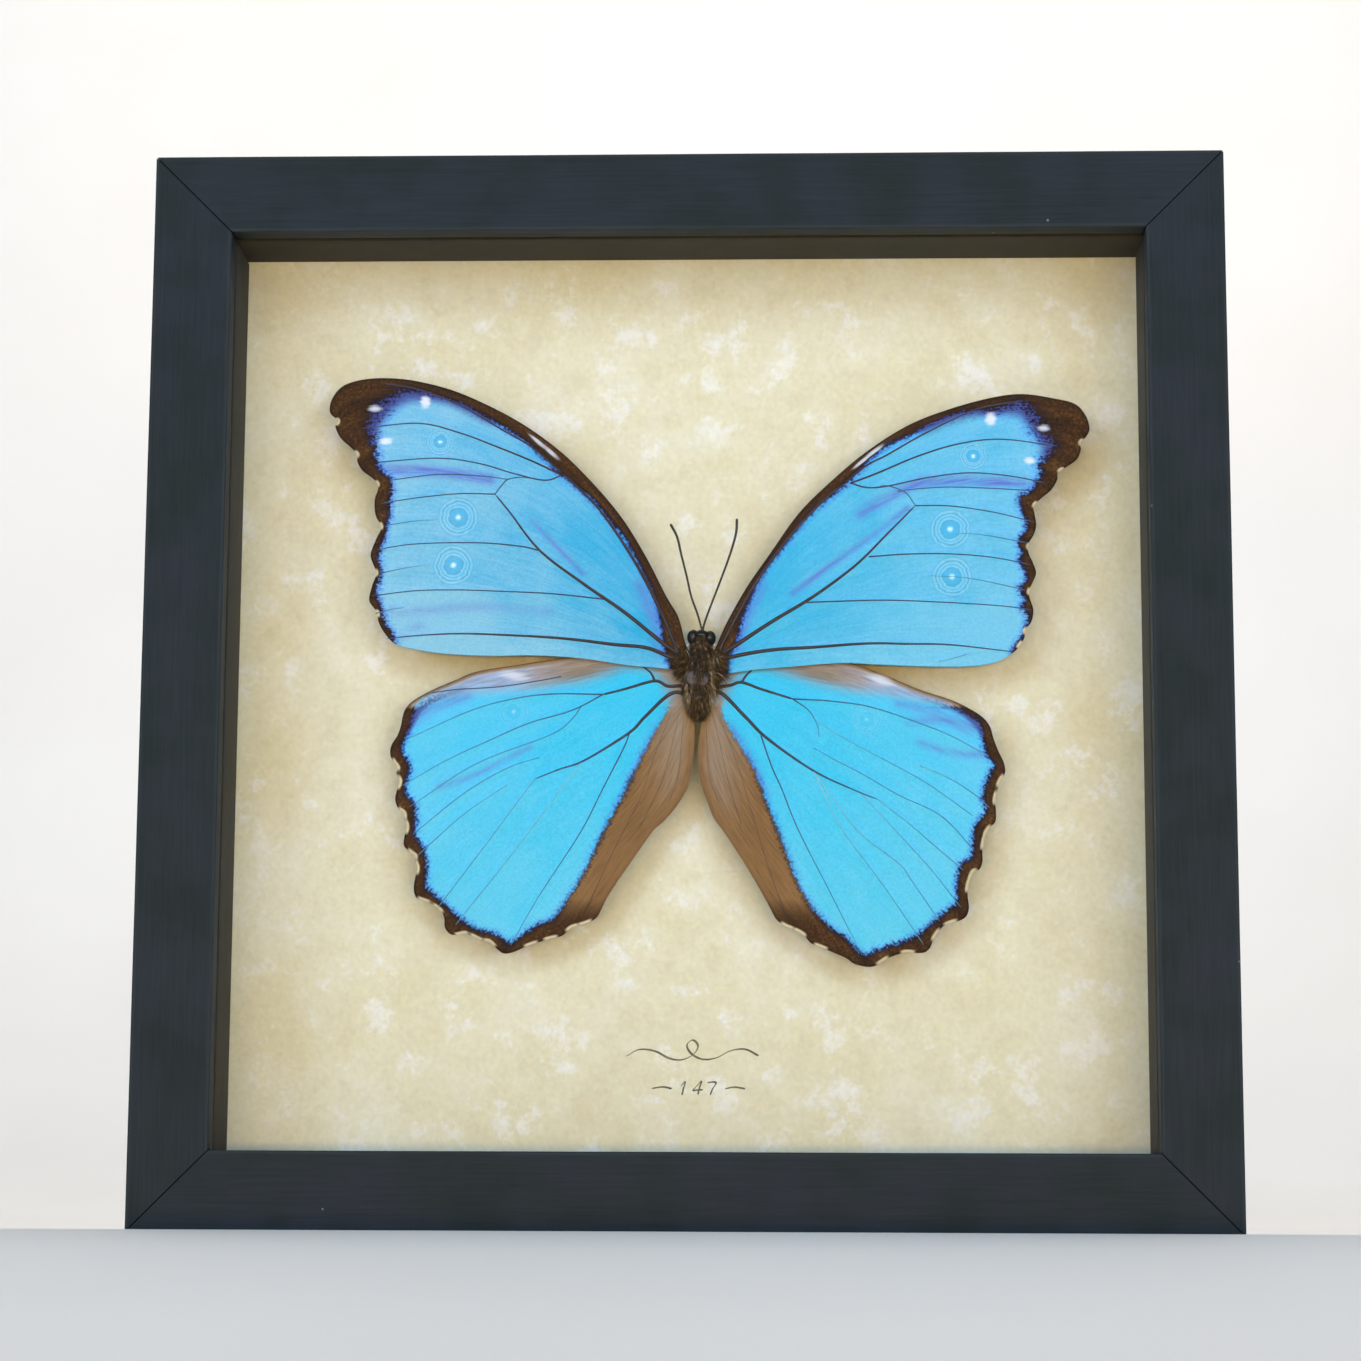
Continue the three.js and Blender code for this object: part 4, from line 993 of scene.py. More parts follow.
def scale_patterns(wing, place, at):
    """Rows of scales 0.4 mm apart and wider folds: noise on the wing's own u and v. Speckle and clouds."""
    rows, folds = (
        add(wing, "CombineXYZ", [
            add(wing, "Math", [at["u"], along], operation="MULTIPLY"),
            add(wing, "Math", [at["v"], across], operation="MULTIPLY")])
        for along, across in (ROW_STRETCH, FOLD_STRETCH))
    streaks = add(wing, "TexNoise", {"Vector": rows, "Scale": 1.0, "Detail": 4, "Roughness": 0.6})
    pleats = add(wing, "TexNoise", {"Vector": folds, "Scale": 1.0, "Detail": 5, "Roughness": 0.65})
    return {
        "pleats": pleats,
        "grainy": add(wing, "Math", [streaks, pleats], operation="ADD"),
        "comb": add(wing, "TexNoise", {"Vector": rows, "Scale": 1.9, "Detail": 2}),
        "speckle": add(wing, "TexNoise", {"Vector": place, "Scale": per_mm(0.5), "Detail": 2}),
        "clouds": add(wing, "TexNoise", {"Vector": place, "Scale": per_mm(8), "Detail": 4}),
    }


def blue_layer(wing, at, root_blue, outer_blue, rings_seen):
    """Blue: paler outwards and in cloudy patches, with violet folds and the rings of the eyespots."""
    uneven = add(wing, "Math", [at["grainy"], at["clouds"]], operation="ADD")
    outer = add(wing, "MapRange", [at["u"], 0.2, 1, 0, 0.9])
    trailing = add(wing, "MapRange", [at["v"], 0.7, 1, 0, 0.45])
    paler = add(wing, "MapRange", [uneven, 1.2, 1.8, -0.22, 0.34])
    for more in (outer, trailing):
        paler = add(wing, "Math", [paler, more], operation="ADD")
    grain = add(wing, "MapRange", [at["speckle"], 0.3, 0.7, 0.93, 1.07])
    broken = add(wing, "MapRange", [at["grainy"], 0.8, 1.2, 0.25, 1.25])
    sheen = add(wing, "Math", [at["violet"], broken], operation="MULTIPLY")
    waver = add(wing, "Math", [at["grainy"], 1.0], operation="SUBTRACT")
    ring_place = add(wing, "Math", [waver, 0.22, at["eye"]], operation="MULTIPLY_ADD")
    rings = add(wing, "ValToRGB", [ring_place], stops=[
        (0.0, "#e6f6fc", 1.0), (0.08, "#c6e9f6", 0.8), (0.18, "#35a6d6", 0.55), (0.36, "#2c9fd2", 0.5),
        (0.43, "#2a8abc", 0.5), (0.5, "#8fd0ea", 0.5), (0.58, "#3fa2d0", 0.55), (0.66, "#8fd0ea", 0.45),
        (0.74, "#2f86b6", 0.6), (0.82, "#93d0e8", 0.45), (0.91, "#3e99c6", 0.5), (1.0, "#6fc6ee", 0.0)])
    seen = add(wing, "Math", [rings.outputs["Alpha"], rings_seen], operation="MULTIPLY")
    blue = add(wing, "Mix", {"Factor": paler, "A": colour(root_blue), "B": colour(outer_blue)}, **OVER)
    blue = add(wing, "Mix", {"Factor": 1.0, "A": blue, "B": grain}, **TIMES)
    for cover, layer in ((sheen, colour("#5863bf")), (seen, rings)):
        blue = add(wing, "Mix", {"Factor": cover, "A": blue, "B": layer}, **OVER)
    return blue


# %% Skin, edges and marks
def skin_layers(wing, at):
    """Skin: brown at the margins, pleated taupe beside the body and darker on the outer rim."""
    specks = add(wing, "Math", [at["speckle"], 0.4], operation="MULTIPLY")
    earthy = add(wing, "Math", [at["pleats"], 0.6, specks], operation="MULTIPLY_ADD")
    brown = add(wing, "ValToRGB", [earthy],
                stops=[(0.36, "#1f130a"), (0.5, "#412812"), (0.58, "#593a1a"), (0.68, "#805a2f")])
    bare = add(wing, "ValToRGB", [at["bare"]], stops=[
        (0.0, "#2a1a10", 0.0), (0.09, "#88653f", 1.0), (0.22, "#8f6d48", 1.0), (0.42, "#968069", 1.0),
        (0.62, "#988878", 1.0), (0.8, "#a79d9c", 1.0), (1.0, "#a3b5d4", 1.0)])
    folded = add(wing, "MapRange", [at["grainy"], 0.7, 1.3, 0.68, 1.3])
    pleated = add(wing, "Mix", {"Factor": 1.0, "A": bare, "B": folded}, **TIMES)
    dark_rim = add(wing, "MapRange", [at["rim"], 0.05, 0.6, 0.7, 0])
    no_lobe = add(wing, "MapRange", [at["bare"], 0, 0.1, 1, 0.25])
    outer_rim = add(wing, "Math", [dark_rim, no_lobe], operation="MULTIPLY")
    return brown, [(bare.outputs["Alpha"], pleated), (outer_rim, colour("#1a0f09"))]


def edge_layers(wing, at, blue):
    """Where the blue ends: toothed by the rows, ragged by single scales, and smooth on the strip."""
    tooth_length = add(wing, "MapRange", [at["bare"], 0, 0.1, 1.5, 0.4])
    swing = add(wing, "Math", [at["comb"], 0.5], operation="SUBTRACT")
    toothed = add(wing, "Math", [swing, tooth_length, at["blue"]], operation="MULTIPLY_ADD")
    ragged = add(wing, "Math", [at["speckle"], 2.0, toothed], operation="MULTIPLY_ADD")
    way_in = add(wing, "MapRange", [ragged, 0, 3.5])
    sharp = add(wing, "MapRange", [way_in, 0.23, 0.37])
    drawn = add(wing, "Math", [at["grainy"], 0.5, at["blue"]], operation="MULTIPLY_ADD")
    gentle = add(wing, "MapRange", [drawn, 0.3, 1.3], **SMOOTH)
    scaled = add(wing, "Mix", {"Factor": at["soft"], "A": sharp, "B": gentle}, data_type="FLOAT")
    skirt = add(wing, "ValToRGB", [way_in], stops=[
        (0.0, "#120b0c", 0.0), (0.12, "#150c0f", 0.1), (0.23, "#170e18", 0.9), (0.3, "#1d1d4c", 0.95),
        (0.37, "#283f98", 0.8), (0.48, "#3a72d0", 0.45), (0.72, "#50a0e8", 0.0)])
    scaleless = add(wing, "MapRange", [at["bare"], 0, 0.55, 1, 0])
    no_strip = add(wing, "Math", [1.0, at["soft"]], operation="SUBTRACT")
    hem = skirt.outputs["Alpha"]
    for less in (scaleless, no_strip):
        hem = add(wing, "Math", [hem, less], operation="MULTIPLY")
    return scaled, [(scaled, blue), (hem, skirt)]


def mark_layers(wing, at, scaled):
    """The dusk round the tip, the white flecks, and the pale fringe where the rim comes near a notch."""
    dim = add(wing, "Math", [at["speckle"], 1.1, at["dusk"]], operation="MULTIPLY_ADD")
    dimmed = add(wing, "MapRange", [dim, 0.85, 1.5, 0, 0.85])
    dusk = add(wing, "Math", [dimmed, scaled], operation="MULTIPLY")
    whitish = add(wing, "Math", [at["grainy"], 0.9, at["fleck"]], operation="MULTIPLY_ADD")
    fleck = add(wing, "MapRange", [whitish, 0.75, 1.6, 0, 0.85], **SMOOTH)
    at_rim = add(wing, "MapRange", [at["rim"], 0.65, 0.35])
    at_notch = add(wing, "MapRange", [at["notch"], 1.6, 0.9])
    fringe = add(wing, "Math", [at_rim, at_notch], operation="MULTIPLY")
    return [(dusk, colour("#3a3a7c")), (fleck, colour("#dfe3ee")), (fringe, colour("#dccba4"))]


# %% Finishes of the wings and the veins
def wing_scales(name, root_blue, outer_blue, rings_seen):
    """Brown skin, then blue, marks and, on the underside, brown again, each where its cover says."""
    wing, place = blank_material(name)
    at = {key: add(wing, "Attribute", attribute_name=key).outputs["Fac"] for key in FIELDS}
    at |= scale_patterns(wing, place, at)
    blue = blue_layer(wing, at, root_blue, outer_blue, rings_seen)
    brown, skin = skin_layers(wing, at)
    scaled, edge = edge_layers(wing, at, blue)
    tone = brown
    for cover, layer in skin + edge + mark_layers(wing, at, scaled) + [(at["under"], brown)]:
        tone = add(wing, "Mix", {"Factor": cover, "A": tone, "B": layer}, **OVER)
    above = add(wing, "Math", [1.0, at["under"]], operation="SUBTRACT")
    shine = add(wing, "Math", [scaled, above], operation="MULTIPLY")
    metal = add(wing, "MapRange", [shine, 0, 1, 0, 0.25])
    rough = add(wing, "MapRange", [shine, 0, 1, 0.8, 0.5])
    height = add(wing, "Bump", {"Height": at["grainy"], "Strength": 0.5, "Distance": 0.08 * MM})
    return finish(wing, {
        "Base Color": tone, "Metallic": metal, "Roughness": rough, "Specular IOR Level": 0.15,
        "Normal": height})


def vein_tube():
    """Vein walls are chitin: brown-black near the body, then slate, then the colour of the scales."""
    vein, place = blank_material("chitin vein")
    tone = add(vein, "Attribute", attribute_name="tone").outputs["Fac"]
    broken = add(vein, "TexNoise", {"Vector": place, "Scale": per_mm(1.1), "Detail": 3})
    swing = add(vein, "Math", [broken, 0.5], operation="SUBTRACT")
    uneven = add(vein, "Math", [swing, 0.25, tone], operation="MULTIPLY_ADD")
    hue = add(vein, "ValToRGB", [uneven], stops=[
        (0.0, "#22150f"), (0.22, "#2f2432"), (0.42, "#2f4f76"), (0.7, "#4a94be"), (0.95, "#86c8d2")])
    return finish(vein, {"Base Color": hue, "Roughness": 0.5, "Specular IOR Level": 0.35})


# Both forewings carry the same scales. The left one's paler outer blue is painted sheen: the iridescence as
# seen from another angle.
LEFT_FORE_SHEENED_SCALES = wing_scales("morpho left forewing scales with painted sheen", "#269dcd", "#7ab5d2", 1.0)
RIGHT_FORE_SCALES = wing_scales("morpho right forewing scales", "#2da3d0", "#68b5d8", 1.0)
HIND_SCALES = wing_scales("morpho hindwing scales", "#2ab2da", "#56b9de", 0.3)
VEIN = vein_tube()

# %% [markdown]
# ## The four wings
#
# The upper sheet is the patch, pushed towards the viewer in a low ridge at every vein and creased along the
# violet folds. The lower sheet lies a little behind, and the two meet in a thin edge all round. The veins
# are laid into the ridges as flattened tubes, in the same mesh.

# %% Build the wings
RIDGE_HEIGHT = 0.09
RIDGE_WIDTH = 0.9
WING_THICK = 0.22
EDGE_THICK = 0.05
EDGE_TAPER = 1.2
FOLD_DEPTH = 0.06
VEIN_SIDES = 8
VEIN_FLATTEN = 0.6
VEIN_END = 0.3


def thin_slab(top, bottom):
    """Two grids of points back to back, joined by a strip of faces round their rims."""
    rows, columns = top.shape[:2]
    count = rows * columns
    number = np.arange(count).reshape(rows, columns)
    cells = cells_of(number)
    rim = np.concatenate([number[:-1, 0], number[-1, :-1], number[:0:-1, -1], number[0, :0:-1]])
    ahead = np.roll(rim, -1)
    strip = np.stack([ahead, rim, rim + count, ahead + count], axis=-1)
    points = np.concatenate([top.reshape(-1, 3), bottom.reshape(-1, 3)])
    return {"points": points, "faces": [cells, cells[:, ::-1] + count, strip]}


def build_wing(name, outline, corners, blue, veins, marks, depth_at, scales):
    """One wing: patch, ridges, two sheets and veins. Corners are the outline's points at apex and tornus."""
    grid = coons_patch(outline, *corners)
    flat = grid.reshape(-1, 2)
    fields = wing_fields(flat, outline, blue, marks)
    routes = [evenly(spline(points, 8), 7 * len(points)) for *_, points in veins]
    to_vein = np.min([distance_to(flat, route[::3]) for route in routes], axis=0)
    lift = RIDGE_HEIGHT * np.exp(-(to_vein / RIDGE_WIDTH) ** 2) - FOLD_DEPTH * fields["violet"]
    depth = depth_at(flat[:, 0], flat[:, 1])
    y = FRONT + depth - lift
    thick = EDGE_THICK + (WING_THICK - EDGE_THICK) * np.clip(fields["rim"] / EDGE_TAPER, 0, 1)
    top = np.stack([flat[:, 0], y, flat[:, 1]], axis=1).reshape(ALONG_STEPS, ACROSS_STEPS, 3)
    bottom = top + np.stack([0 * thick, thick, 0 * thick], axis=1).reshape(top.shape)
    u, v = np.meshgrid(np.linspace(0, 1, ALONG_STEPS), np.linspace(0, 1, ACROSS_STEPS), indexing="ij")
    fields["u"], fields["v"] = u.ravel(), v.ravel()
    fields["bare"] = bare_skin(flat, fields["rim"]) if name.startswith("hindwing") else 0 * flat[:, 0]
    fields = {key: np.tile(values, 2) for key, values in fields.items()}
    fields["under"] = np.repeat([0.0, 1.0], len(flat))
    parts = [thin_slab(top, bottom) | {"material": scales, "fields": fields}]
    for (wide, narrow, dark, light, _), route in zip(veins, routes):
        share = np.linspace(0, 1, len(route))
        radius = (wide + (narrow - wide) * share**0.8) / 2
        radius[-1] *= VEIN_END
        y = FRONT + depth_at(route[:, 0], route[:, 1]) - RIDGE_HEIGHT
        path = np.stack([route[:, 0], y, route[:, 1]], axis=1)
        tone = (dark + (light - dark) * share)[:, None]
        parts.append(tube(path, radius, VEIN, VEIN_SIDES, VEIN_FLATTEN, tone=tone))
    make_piece(f"scaled_{name}", parts, "wing_membrane", name)


build_wing("forewing_left", LEFT_FOREWING, (14, 36), LEFT_FORE_BLUE, LEFT_FORE_VEINS,
           LEFT_FORE_MARKS, forewing_depth, LEFT_FORE_SHEENED_SCALES)
build_wing("forewing_right", RIGHT_FOREWING, (15, 42), RIGHT_FORE_BLUE, RIGHT_FORE_VEINS,
           RIGHT_FORE_MARKS, forewing_depth, RIGHT_FORE_SCALES)
build_wing("hindwing_left", LEFT_HINDWING, (10, 54), LEFT_HIND_BLUE, LEFT_HIND_VEINS,
           LEFT_HIND_MARKS, hindwing_depth, HIND_SCALES)
build_wing("hindwing_right", RIGHT_HINDWING, (9, 55), RIGHT_HIND_BLUE, RIGHT_HIND_VEINS,
           RIGHT_HIND_MARKS, hindwing_depth, HIND_SCALES)

# %% [markdown]
# ## The body
#
# Head and thorax are one grown piece under a coat of olive-brown hair. The skin is a stack of ellipses
# along the body: for each height it has a middle, a half width and a half depth, and smooth curves join the
# stations. Two bulging black eyes sit on the head with a dark brow between them, two shoulder lumps lie
# where the forewings start, and four small bare plates lie on the back of the thorax.

# %% Skin of the body
# A station is a height, the middle's x, a half width, a half depth and the middle's depth. A lump is a
# middle as (x, z, depth) and its half sizes in the same order.
STATIONS = [
    (97.0, 2.1, 0.2, 0.3, 15.6), (97.6, 2.1, 0.7, 0.9, 15.5), (98.8, 2.1, 1.5, 1.6, 15.3),
    (100.3, 2.15, 2.2, 2.2, 15.1), (102, 2.3, 2.75, 2.7, 14.9), (103.6, 2.4, 2.9, 3.0, 14.8),
    (105.5, 2.5, 2.7, 3.0, 14.8), (107.5, 2.6, 2.4, 2.7, 14.8), (109.3, 2.65, 2.1, 2.3, 14.8),
    (111, 2.7, 1.9, 2.0, 14.7), (112.5, 2.75, 1.3, 1.6, 14.6), (113.3, 2.75, 0.2, 0.4, 14.5),
]
EYES = [((1.15, 112.05, 14.3), (1.2, 1.5, 1.6)), ((4.3, 111.9, 14.3), (1.15, 1.45, 1.6))]
SHOULDERS = [((-0.6, 107.2, 14.6), (0.8, 1.9, 0.6)), ((5.8, 106.8, 14.6), (0.8, 1.9, 0.6))]
CROWN = ((2.72, 112.35, 14.2), (1.5, 1.15, 1.45))
PLATES = [((1.05, 103.9, 12.2), (1.15, 1.35, 0.42)), ((3.0, 103.8, 12.2), (1.15, 1.35, 0.42)),
          ((2.0, 101.4, 12.8), (1.45, 0.55, 0.4)), ((2.0, 100.5, 13.1), (1.2, 0.4, 0.35))]
station_curve = spline(STATIONS, 6)


def body_point(share, turn, swell=0.0):
    """The skin at a share of the length and a turn round it: an ellipse about the body's middle line."""
    at = share * (len(station_curve) - 1)
    z, x, wide, deep, depth = (np.interp(at, np.arange(len(station_curve)), c) for c in station_curve.T)
    y = FRONT + depth - (deep + swell) * np.sin(turn)
    return np.stack([x + (wide + swell) * np.cos(turn), y, z], axis=-1)


def ellipsoid(middle, half, sides, rows, material, **fields):
    """Circles whose radius is the sine of the angle from the pole, scaled to the three half sizes."""
    x, z, depth = middle
    angle = np.linspace(0.12, np.pi - 0.12, rows)[:, None]
    turn = np.linspace(0, 2 * np.pi, sides, endpoint=False)[None]
    circle = [np.sin(angle) * np.cos(turn), np.sin(angle) * np.sin(turn), np.cos(angle) + 0 * turn]
    size = np.array([half[0], half[2], half[1]])
    return ring_stack(np.stack(circle, axis=-1) * size + np.array([x, FRONT + depth, z]), material, **fields)


def chitin(name, dark, light, rough, size):
    """Insect cuticle: dark brown to black, faintly glossy, with a fine pitted texture of one size in mm."""
    return clouded(name, size, 4, [(0.35, dark), (0.65, light)],
                   {"Roughness": rough, "Specular IOR Level": 0.4}, 0.4, 0.08)


SKIN = chitin("thorax cuticle", "#171009", "#33261a", 0.6, 0.8)
PLATE = chitin("bare back plates", "#1f1817", "#5f524e", 0.5, 0.9)
EYE = chitin("compound eye", "#050404", "#0d0b09", 0.25, 0.25)
turns = np.linspace(0, 2 * np.pi, 40, endpoint=False)
share, turn = np.meshgrid(np.linspace(0, 1, 46), turns, indexing="ij")
body_parts = [ring_stack(body_point(share, turn), SKIN)]
for lumps, material in ((SHOULDERS, SKIN), (PLATES, PLATE), (EYES + [CROWN], EYE)):
    body_parts += [ellipsoid(middle, half, 28, 18, material) for middle, half in lumps]

# %% [markdown]
# ## Hair
#
# The coat is thousands of tapered three-sided hairs, 0.17 mm thick at the root, which is several times as
# thick as real ones, so that they show. A hair is two triangles and a tip: the second triangle is narrower,
# and the tip droops, so each hair bends. Roots are drawn at random, but from a fixed seed, and every hair
# keeps a tone of its own.

# %% One hair and its finish
random = np.random.default_rng(8528)
HAIR_RADIUS = 0.085
HAIR_TAPER = 0.6
HAIR_POINTS = 7
ASKEW = np.array([0.31, 0.93, 0.19])  # no hair points this way, so it gives each hair a way beside itself


def hair_coat():
    """Hair: dark olive brown at its darkest, straw at its palest, a soft shine along it."""
    coat, _ = blank_material("olive-brown insect hair")
    tone = add(coat, "Attribute", attribute_name="tone").outputs["Fac"]
    hue = add(coat, "ValToRGB", [tone], stops=[
        (0.0, "#130d07"), (0.3, "#362717"), (0.55, "#634c2c"), (0.8, "#93784b"), (1.0, "#d8d0bf")])
    return finish(coat, {"Base Color": hue, "Roughness": 0.5, "Specular IOR Level": 0.25})


HAIR = hair_coat()


def hair(roots, way, length, droop, tone):
    """Hairs as arrays: a triangle at each root, a narrower one at mid length, and a tip that droops."""
    way = way / np.linalg.norm(way, axis=1, keepdims=True)
    beside = np.cross(way, ASKEW)
    beside /= np.linalg.norm(beside, axis=1, keepdims=True)
    over = np.cross(way, beside)
    turn = np.radians([0, 120, 240])[None, :, None]
    ring = np.cos(turn) * beside[:, None] + np.sin(turn) * over[:, None]
    middle = roots + way * length[:, None] * 0.5
    tip = roots + (way + droop) * length[:, None]
    foot_ring = roots[:, None] + HAIR_RADIUS * ring
    middle_ring = middle[:, None] + HAIR_TAPER * HAIR_RADIUS * ring
    points = np.concatenate([foot_ring, middle_ring, tip[:, None]], axis=1)
    start = HAIR_POINTS * np.arange(len(roots))[:, None]
    walls = [start + np.array([i, (i + 1) % 3, (i + 1) % 3 + 3, i + 3]) for i in range(3)]
    tips = [start + np.array([i + 3, (i + 1) % 3 + 3, 6]) for i in range(3)]
    foot = start + np.array([2, 1, 0])
    return {"points": points.reshape(-1, 3), "faces": walls + tips + [foot], "material": HAIR,
            "fields": {"tone": np.repeat(tone, HAIR_POINTS)}}


# %% Grow the hair
# A few stray hairs grow on the bare plates, and all hairs end a little outside them.
BALD_EDGE = -0.1
STRAY_SHARE = 0.1


def patches(roots):
    """A smooth pattern over the body: three crossing waves about 1.2 mm long, from -1 to 1."""
    x, _, z = roots.T
    return (np.sin(6.3 * x + 1.3 * z) + np.sin(5.2 * z - 3.1 * x + 1) + np.sin(4.7 * x + 6.3 * z + 2)) / 3


def body_tone(roots):
    """Dark along the middle, golden along both flanks, paler on the brow and towards the tail."""
    x, _, z = roots.T
    flank = np.exp(-((np.abs(x - 2.35) - 2.3) / 0.7) ** 2) * (z < 109)
    brow = np.exp(-((z - 110.6) / 0.9) ** 2)
    tail = np.clip((103.5 - z) / 3, 0, 1)
    streaks = 0.32 * patches(roots) + random.normal(0, 0.17, len(x))
    return 0.21 + 0.4 * flank + 0.24 * brow + 0.26 * tail + streaks


def grow_on_body(count, low, high, length, stand):
    """Hairs on the skin between two shares of its length, combed towards the tail, off the bare plates."""
    share = random.uniform(low, high, count)
    turn = random.uniform(-0.1, np.pi + 0.1, count)
    roots = body_point(share, turn)
    bald = np.max([1 - np.hypot((roots[:, 0] - x) / a, (roots[:, 2] - z) / b)
                   for (x, z, _), (a, b, _) in PLATES], axis=0) > BALD_EDGE
    keep = ~bald | (random.uniform(size=count) < STRAY_SHARE)
    share, turn, roots = share[keep], turn[keep], roots[keep]
    normal = body_point(share, turn, 1.0) - roots
    lean = 0.35 * patches(roots)[:, None] * np.array([1, 0, 0])
    way = stand * normal + np.array([0, 0, -0.9]) + lean + 0.16 * random.normal(size=roots.shape)
    size = length * random.uniform(0.6, 1.25, len(roots))
    return hair(roots, way, size, np.array([0, 0.12, -0.2]), np.clip(body_tone(roots), 0, 1))


def grow_tuft(count, middle, half, way, length, tone):
    """Hairs from all over a small ellipsoid, combed one way."""
    unit = random.normal(size=(count, 3))
    unit /= np.linalg.norm(unit, axis=1, keepdims=True)
    unit[:, 1] = -np.abs(unit[:, 1])
    x, z, depth = middle
    roots = np.array([x, FRONT + depth, z]) + unit * np.array([half[0], half[2], half[1]])
    ways = 0.25 * unit + np.array(way) + 0.2 * random.normal(size=(count, 3))
    tones = np.clip(tone + 0.28 * patches(roots) + random.normal(0, 0.16, count), 0, 1)
    lengths = length * random.uniform(0.6, 1.2, count)
    return hair(roots, ways, lengths, np.array([0, 0.08, -0.12]), tones)


body_parts += [
    grow_on_body(4200, 0.06, 0.72, 1.3, 0.22),
    grow_on_body(1100, 0.68, 0.93, 0.9, 0.3),
]
for (x, z, depth), half in SHOULDERS:
    out = np.sign(x - BODY_X)
    low = depth + 0.3
    body_parts += [
        grow_tuft(420, (x, z + 0.3, depth), half, (0.9 * out, -0.02, -0.35), 1.7, 0.38),
        grow_tuft(110, (x, z - 1.2, depth), (0.5, 0.9, 0.4), (0.9 * out, 0.02, -0.3), 2.4, 0.34),
        grow_tuft(260, (x - 0.9 * out, z - 3.2, low), (0.8, 1.6, 0.6), (0.6 * out, -0.05, -0.8), 1.4, 0.46),
        grow_tuft(260, (x, z + 1.8, depth), (0.6, 1.6, 0.4), (0.3 * out, -0.08, -0.95), 2.2, 0.42),
        grow_tuft(160, (2.2 + 1.2 * out, 98.8, depth + 0.4), (0.6, 1.0, 0.4), (0.1 * out, 0, -1), 1.2, 0.5),
        ellipsoid((2.65 + 2.55 * out, 110.55, 14.0), (0.22, 0.28, 0.3), 14, 10, HAIR, tone=1.0),
    ]
make_piece("haired_body", body_parts, "insect_body", "body")

# %% [markdown]
# ## Antennae
#
# An antenna is a chain of about forty short joints that swells slightly towards the tip, so the radius
# along the tube is a slow swelling plus a wave with one crest for each joint.

# %% Antennae
LEFT_ANTENNA = [
    (2.6, 114.2, 14.1), (1.9, 116.6, 13.8), (0.7, 120, 13.6), (-0.2, 124, 13.5), (-1.2, 128, 13.6),
    (-2, 131.4, 13.8), (-3.3, 134, 14)]
RIGHT_ANTENNA = [
    (3.1, 114.2, 14.1), (3.9, 116.6, 13.8), (5.2, 120, 13.6), (6.7, 124, 13.5), (8.1, 128, 13.6),
    (9.2, 132, 13.8), (9.4, 135, 14)]
ANTENNA_ROOT = (2.9, 112.8, 14.2)
ANTENNA_JOINTS = 40
ANTENNA_RADIUS = 0.2
ANTENNA_END = 0.5
JOINT_SWELL = 0.1
TIP_SWELL = 0.3
CUTICLE = chitin("antenna cuticle", "#17110c", "#33271b", 0.45, 0.5)

for side, points in (("left", LEFT_ANTENNA), ("right", RIGHT_ANTENNA)):
    curve = spline([(x, FRONT + depth, z) for x, z, depth in [ANTENNA_ROOT] + points], 10)
    path = evenly(curve, 4 * ANTENNA_JOINTS + 1)
    share = np.linspace(0, 1, len(path))
    joint = 1 + JOINT_SWELL * np.cos(2 * np.pi * ANTENNA_JOINTS * share)
    radius = ANTENNA_RADIUS * joint * (1 + TIP_SWELL * share**4)
    radius[[0, -1]] *= ANTENNA_END
    part = tube(path, radius, CUTICLE, 10)
    make_piece(f"jointed_antenna_{side}", [part], "insect_body", f"antenna_{side}")

# %% [markdown]
# ## Floor and light
#
# The floor is matt white board with a very faint cloudiness: one smooth sheet that is flat under the frame,
# rises into a backdrop behind it and falls gently away in front, because the camera looks from the level of
# the table. Two large soft lights stand at the left and the right and a third hangs above, all cool. A long
# low lamp under the camera is warm: it shines from the front, so it fills the shadows of the others with
# gold. A last one lights the backdrop. All stand outside the directions that the glass mirrors to the
# camera, and the room is dim, so the glass stays clear.

# %% Stage
FLOOR_PROFILE = [
    (-7000, -175), (-3000, -175), (-1500, -170), (-700, -110), (-300, -45), (-120, -8), (-45, 0),
    (60, 0), (500, 0), (900, 40), (1150, 260), (1250, 700), (1280, 1500), (1300, 3000)]
FLOOR_HALF = 6000

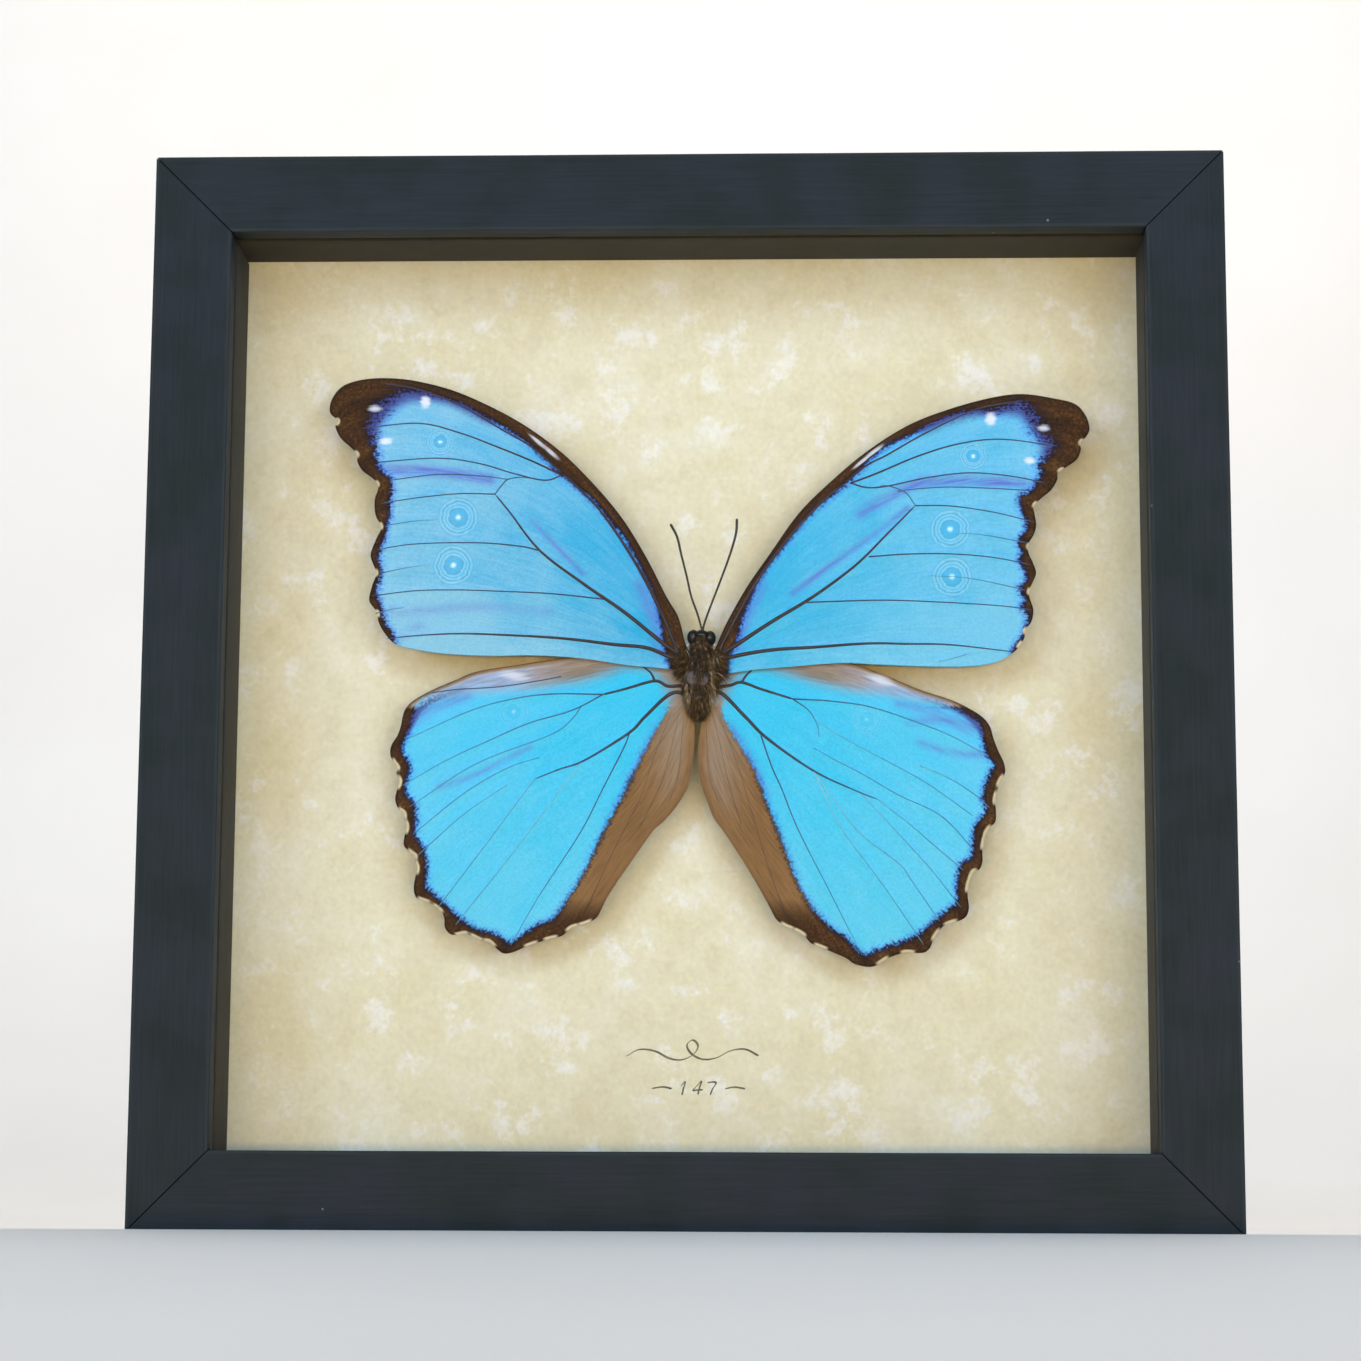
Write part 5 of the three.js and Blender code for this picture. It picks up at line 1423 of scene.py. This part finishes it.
profile = spline(FLOOR_PROFILE, 12)
across = np.linspace(-FLOOR_HALF, FLOOR_HALF, 5)
floor_grid = np.broadcast_arrays(across[:, None], profile[None, :, 0], profile[None, :, 1])
floor_points = np.stack(floor_grid, axis=-1)
floor_cells = cells_of(np.arange(floor_grid[0].size).reshape(floor_grid[0].shape))
floor_mesh = bpy.data.meshes.new("floor")
floor_mesh.from_pydata((floor_points.reshape(-1, 3) * MM).tolist(), [], floor_cells.tolist())
floor_mesh.polygons.foreach_set("use_smooth", [True] * len(floor_mesh.polygons))
floor_mesh.materials.append(
    clouded("pale stage board", 200, 2, [(0.3, "#f5f1ea"), (0.7, "#fbf8f2")], {"Roughness": 0.8}))
floor = bpy.data.objects.new("floor", floor_mesh)
bpy.context.scene.collection.objects.link(floor)
print(f"floor of {len(floor_cells)} faces")

# %% Light
# Each soft light has a place and a target in metres, a width and a height, a power in watts and a colour.
MIDDLE = (0, 0, 0.1)
ROOM_LIGHT = 0.06
LIGHTS = {
    "left_light": ((-1.55, -2.0, 0.65), MIDDLE, (1.2, 1.2), 23, "#cde2ff"),
    "right_light": ((1.45, -2.0, 0.6), MIDDLE, (1.2, 1.2), 21.5, "#cde2ff"),
    "high_light": ((-0.1, -2.2, 1.65), MIDDLE, (1.6, 0.9), 22, "#cde2ff"),
    "warm_light": ((0.1, -1.6, -0.09), MIDDLE, (1.4, 0.12), 9.6, "#ffd37a"),
    "backdrop_light": ((0, 0.35, 1.1), (0, 1.1, 0.2), (0.9, 0.9), 7.5, "#fffaf3"),
}
for name, (place, target, size, power, tint) in LIGHTS.items():
    light = bpy.data.objects.new(name, bpy.data.lights.new(name, "AREA"))
    light.data.shape = "RECTANGLE"
    light.data.size, light.data.size_y = size
    light.data.energy = power
    light.data.color = colour(tint)[:3]
    light.location = place
    light.rotation_euler = (Vector(target) - Vector(place)).to_track_quat("-Z", "Y").to_euler()
    light.visible_camera = False
    bpy.context.scene.collection.objects.link(light)
    print(f"{name}: {power} W")

world = bpy.data.worlds.new("dim room")
world.use_nodes = True
room = world.node_tree.nodes["Background"].inputs
room["Color"].default_value = colour("#f6ead2")
room["Strength"].default_value = ROOM_LIGHT
bpy.context.scene.world = world
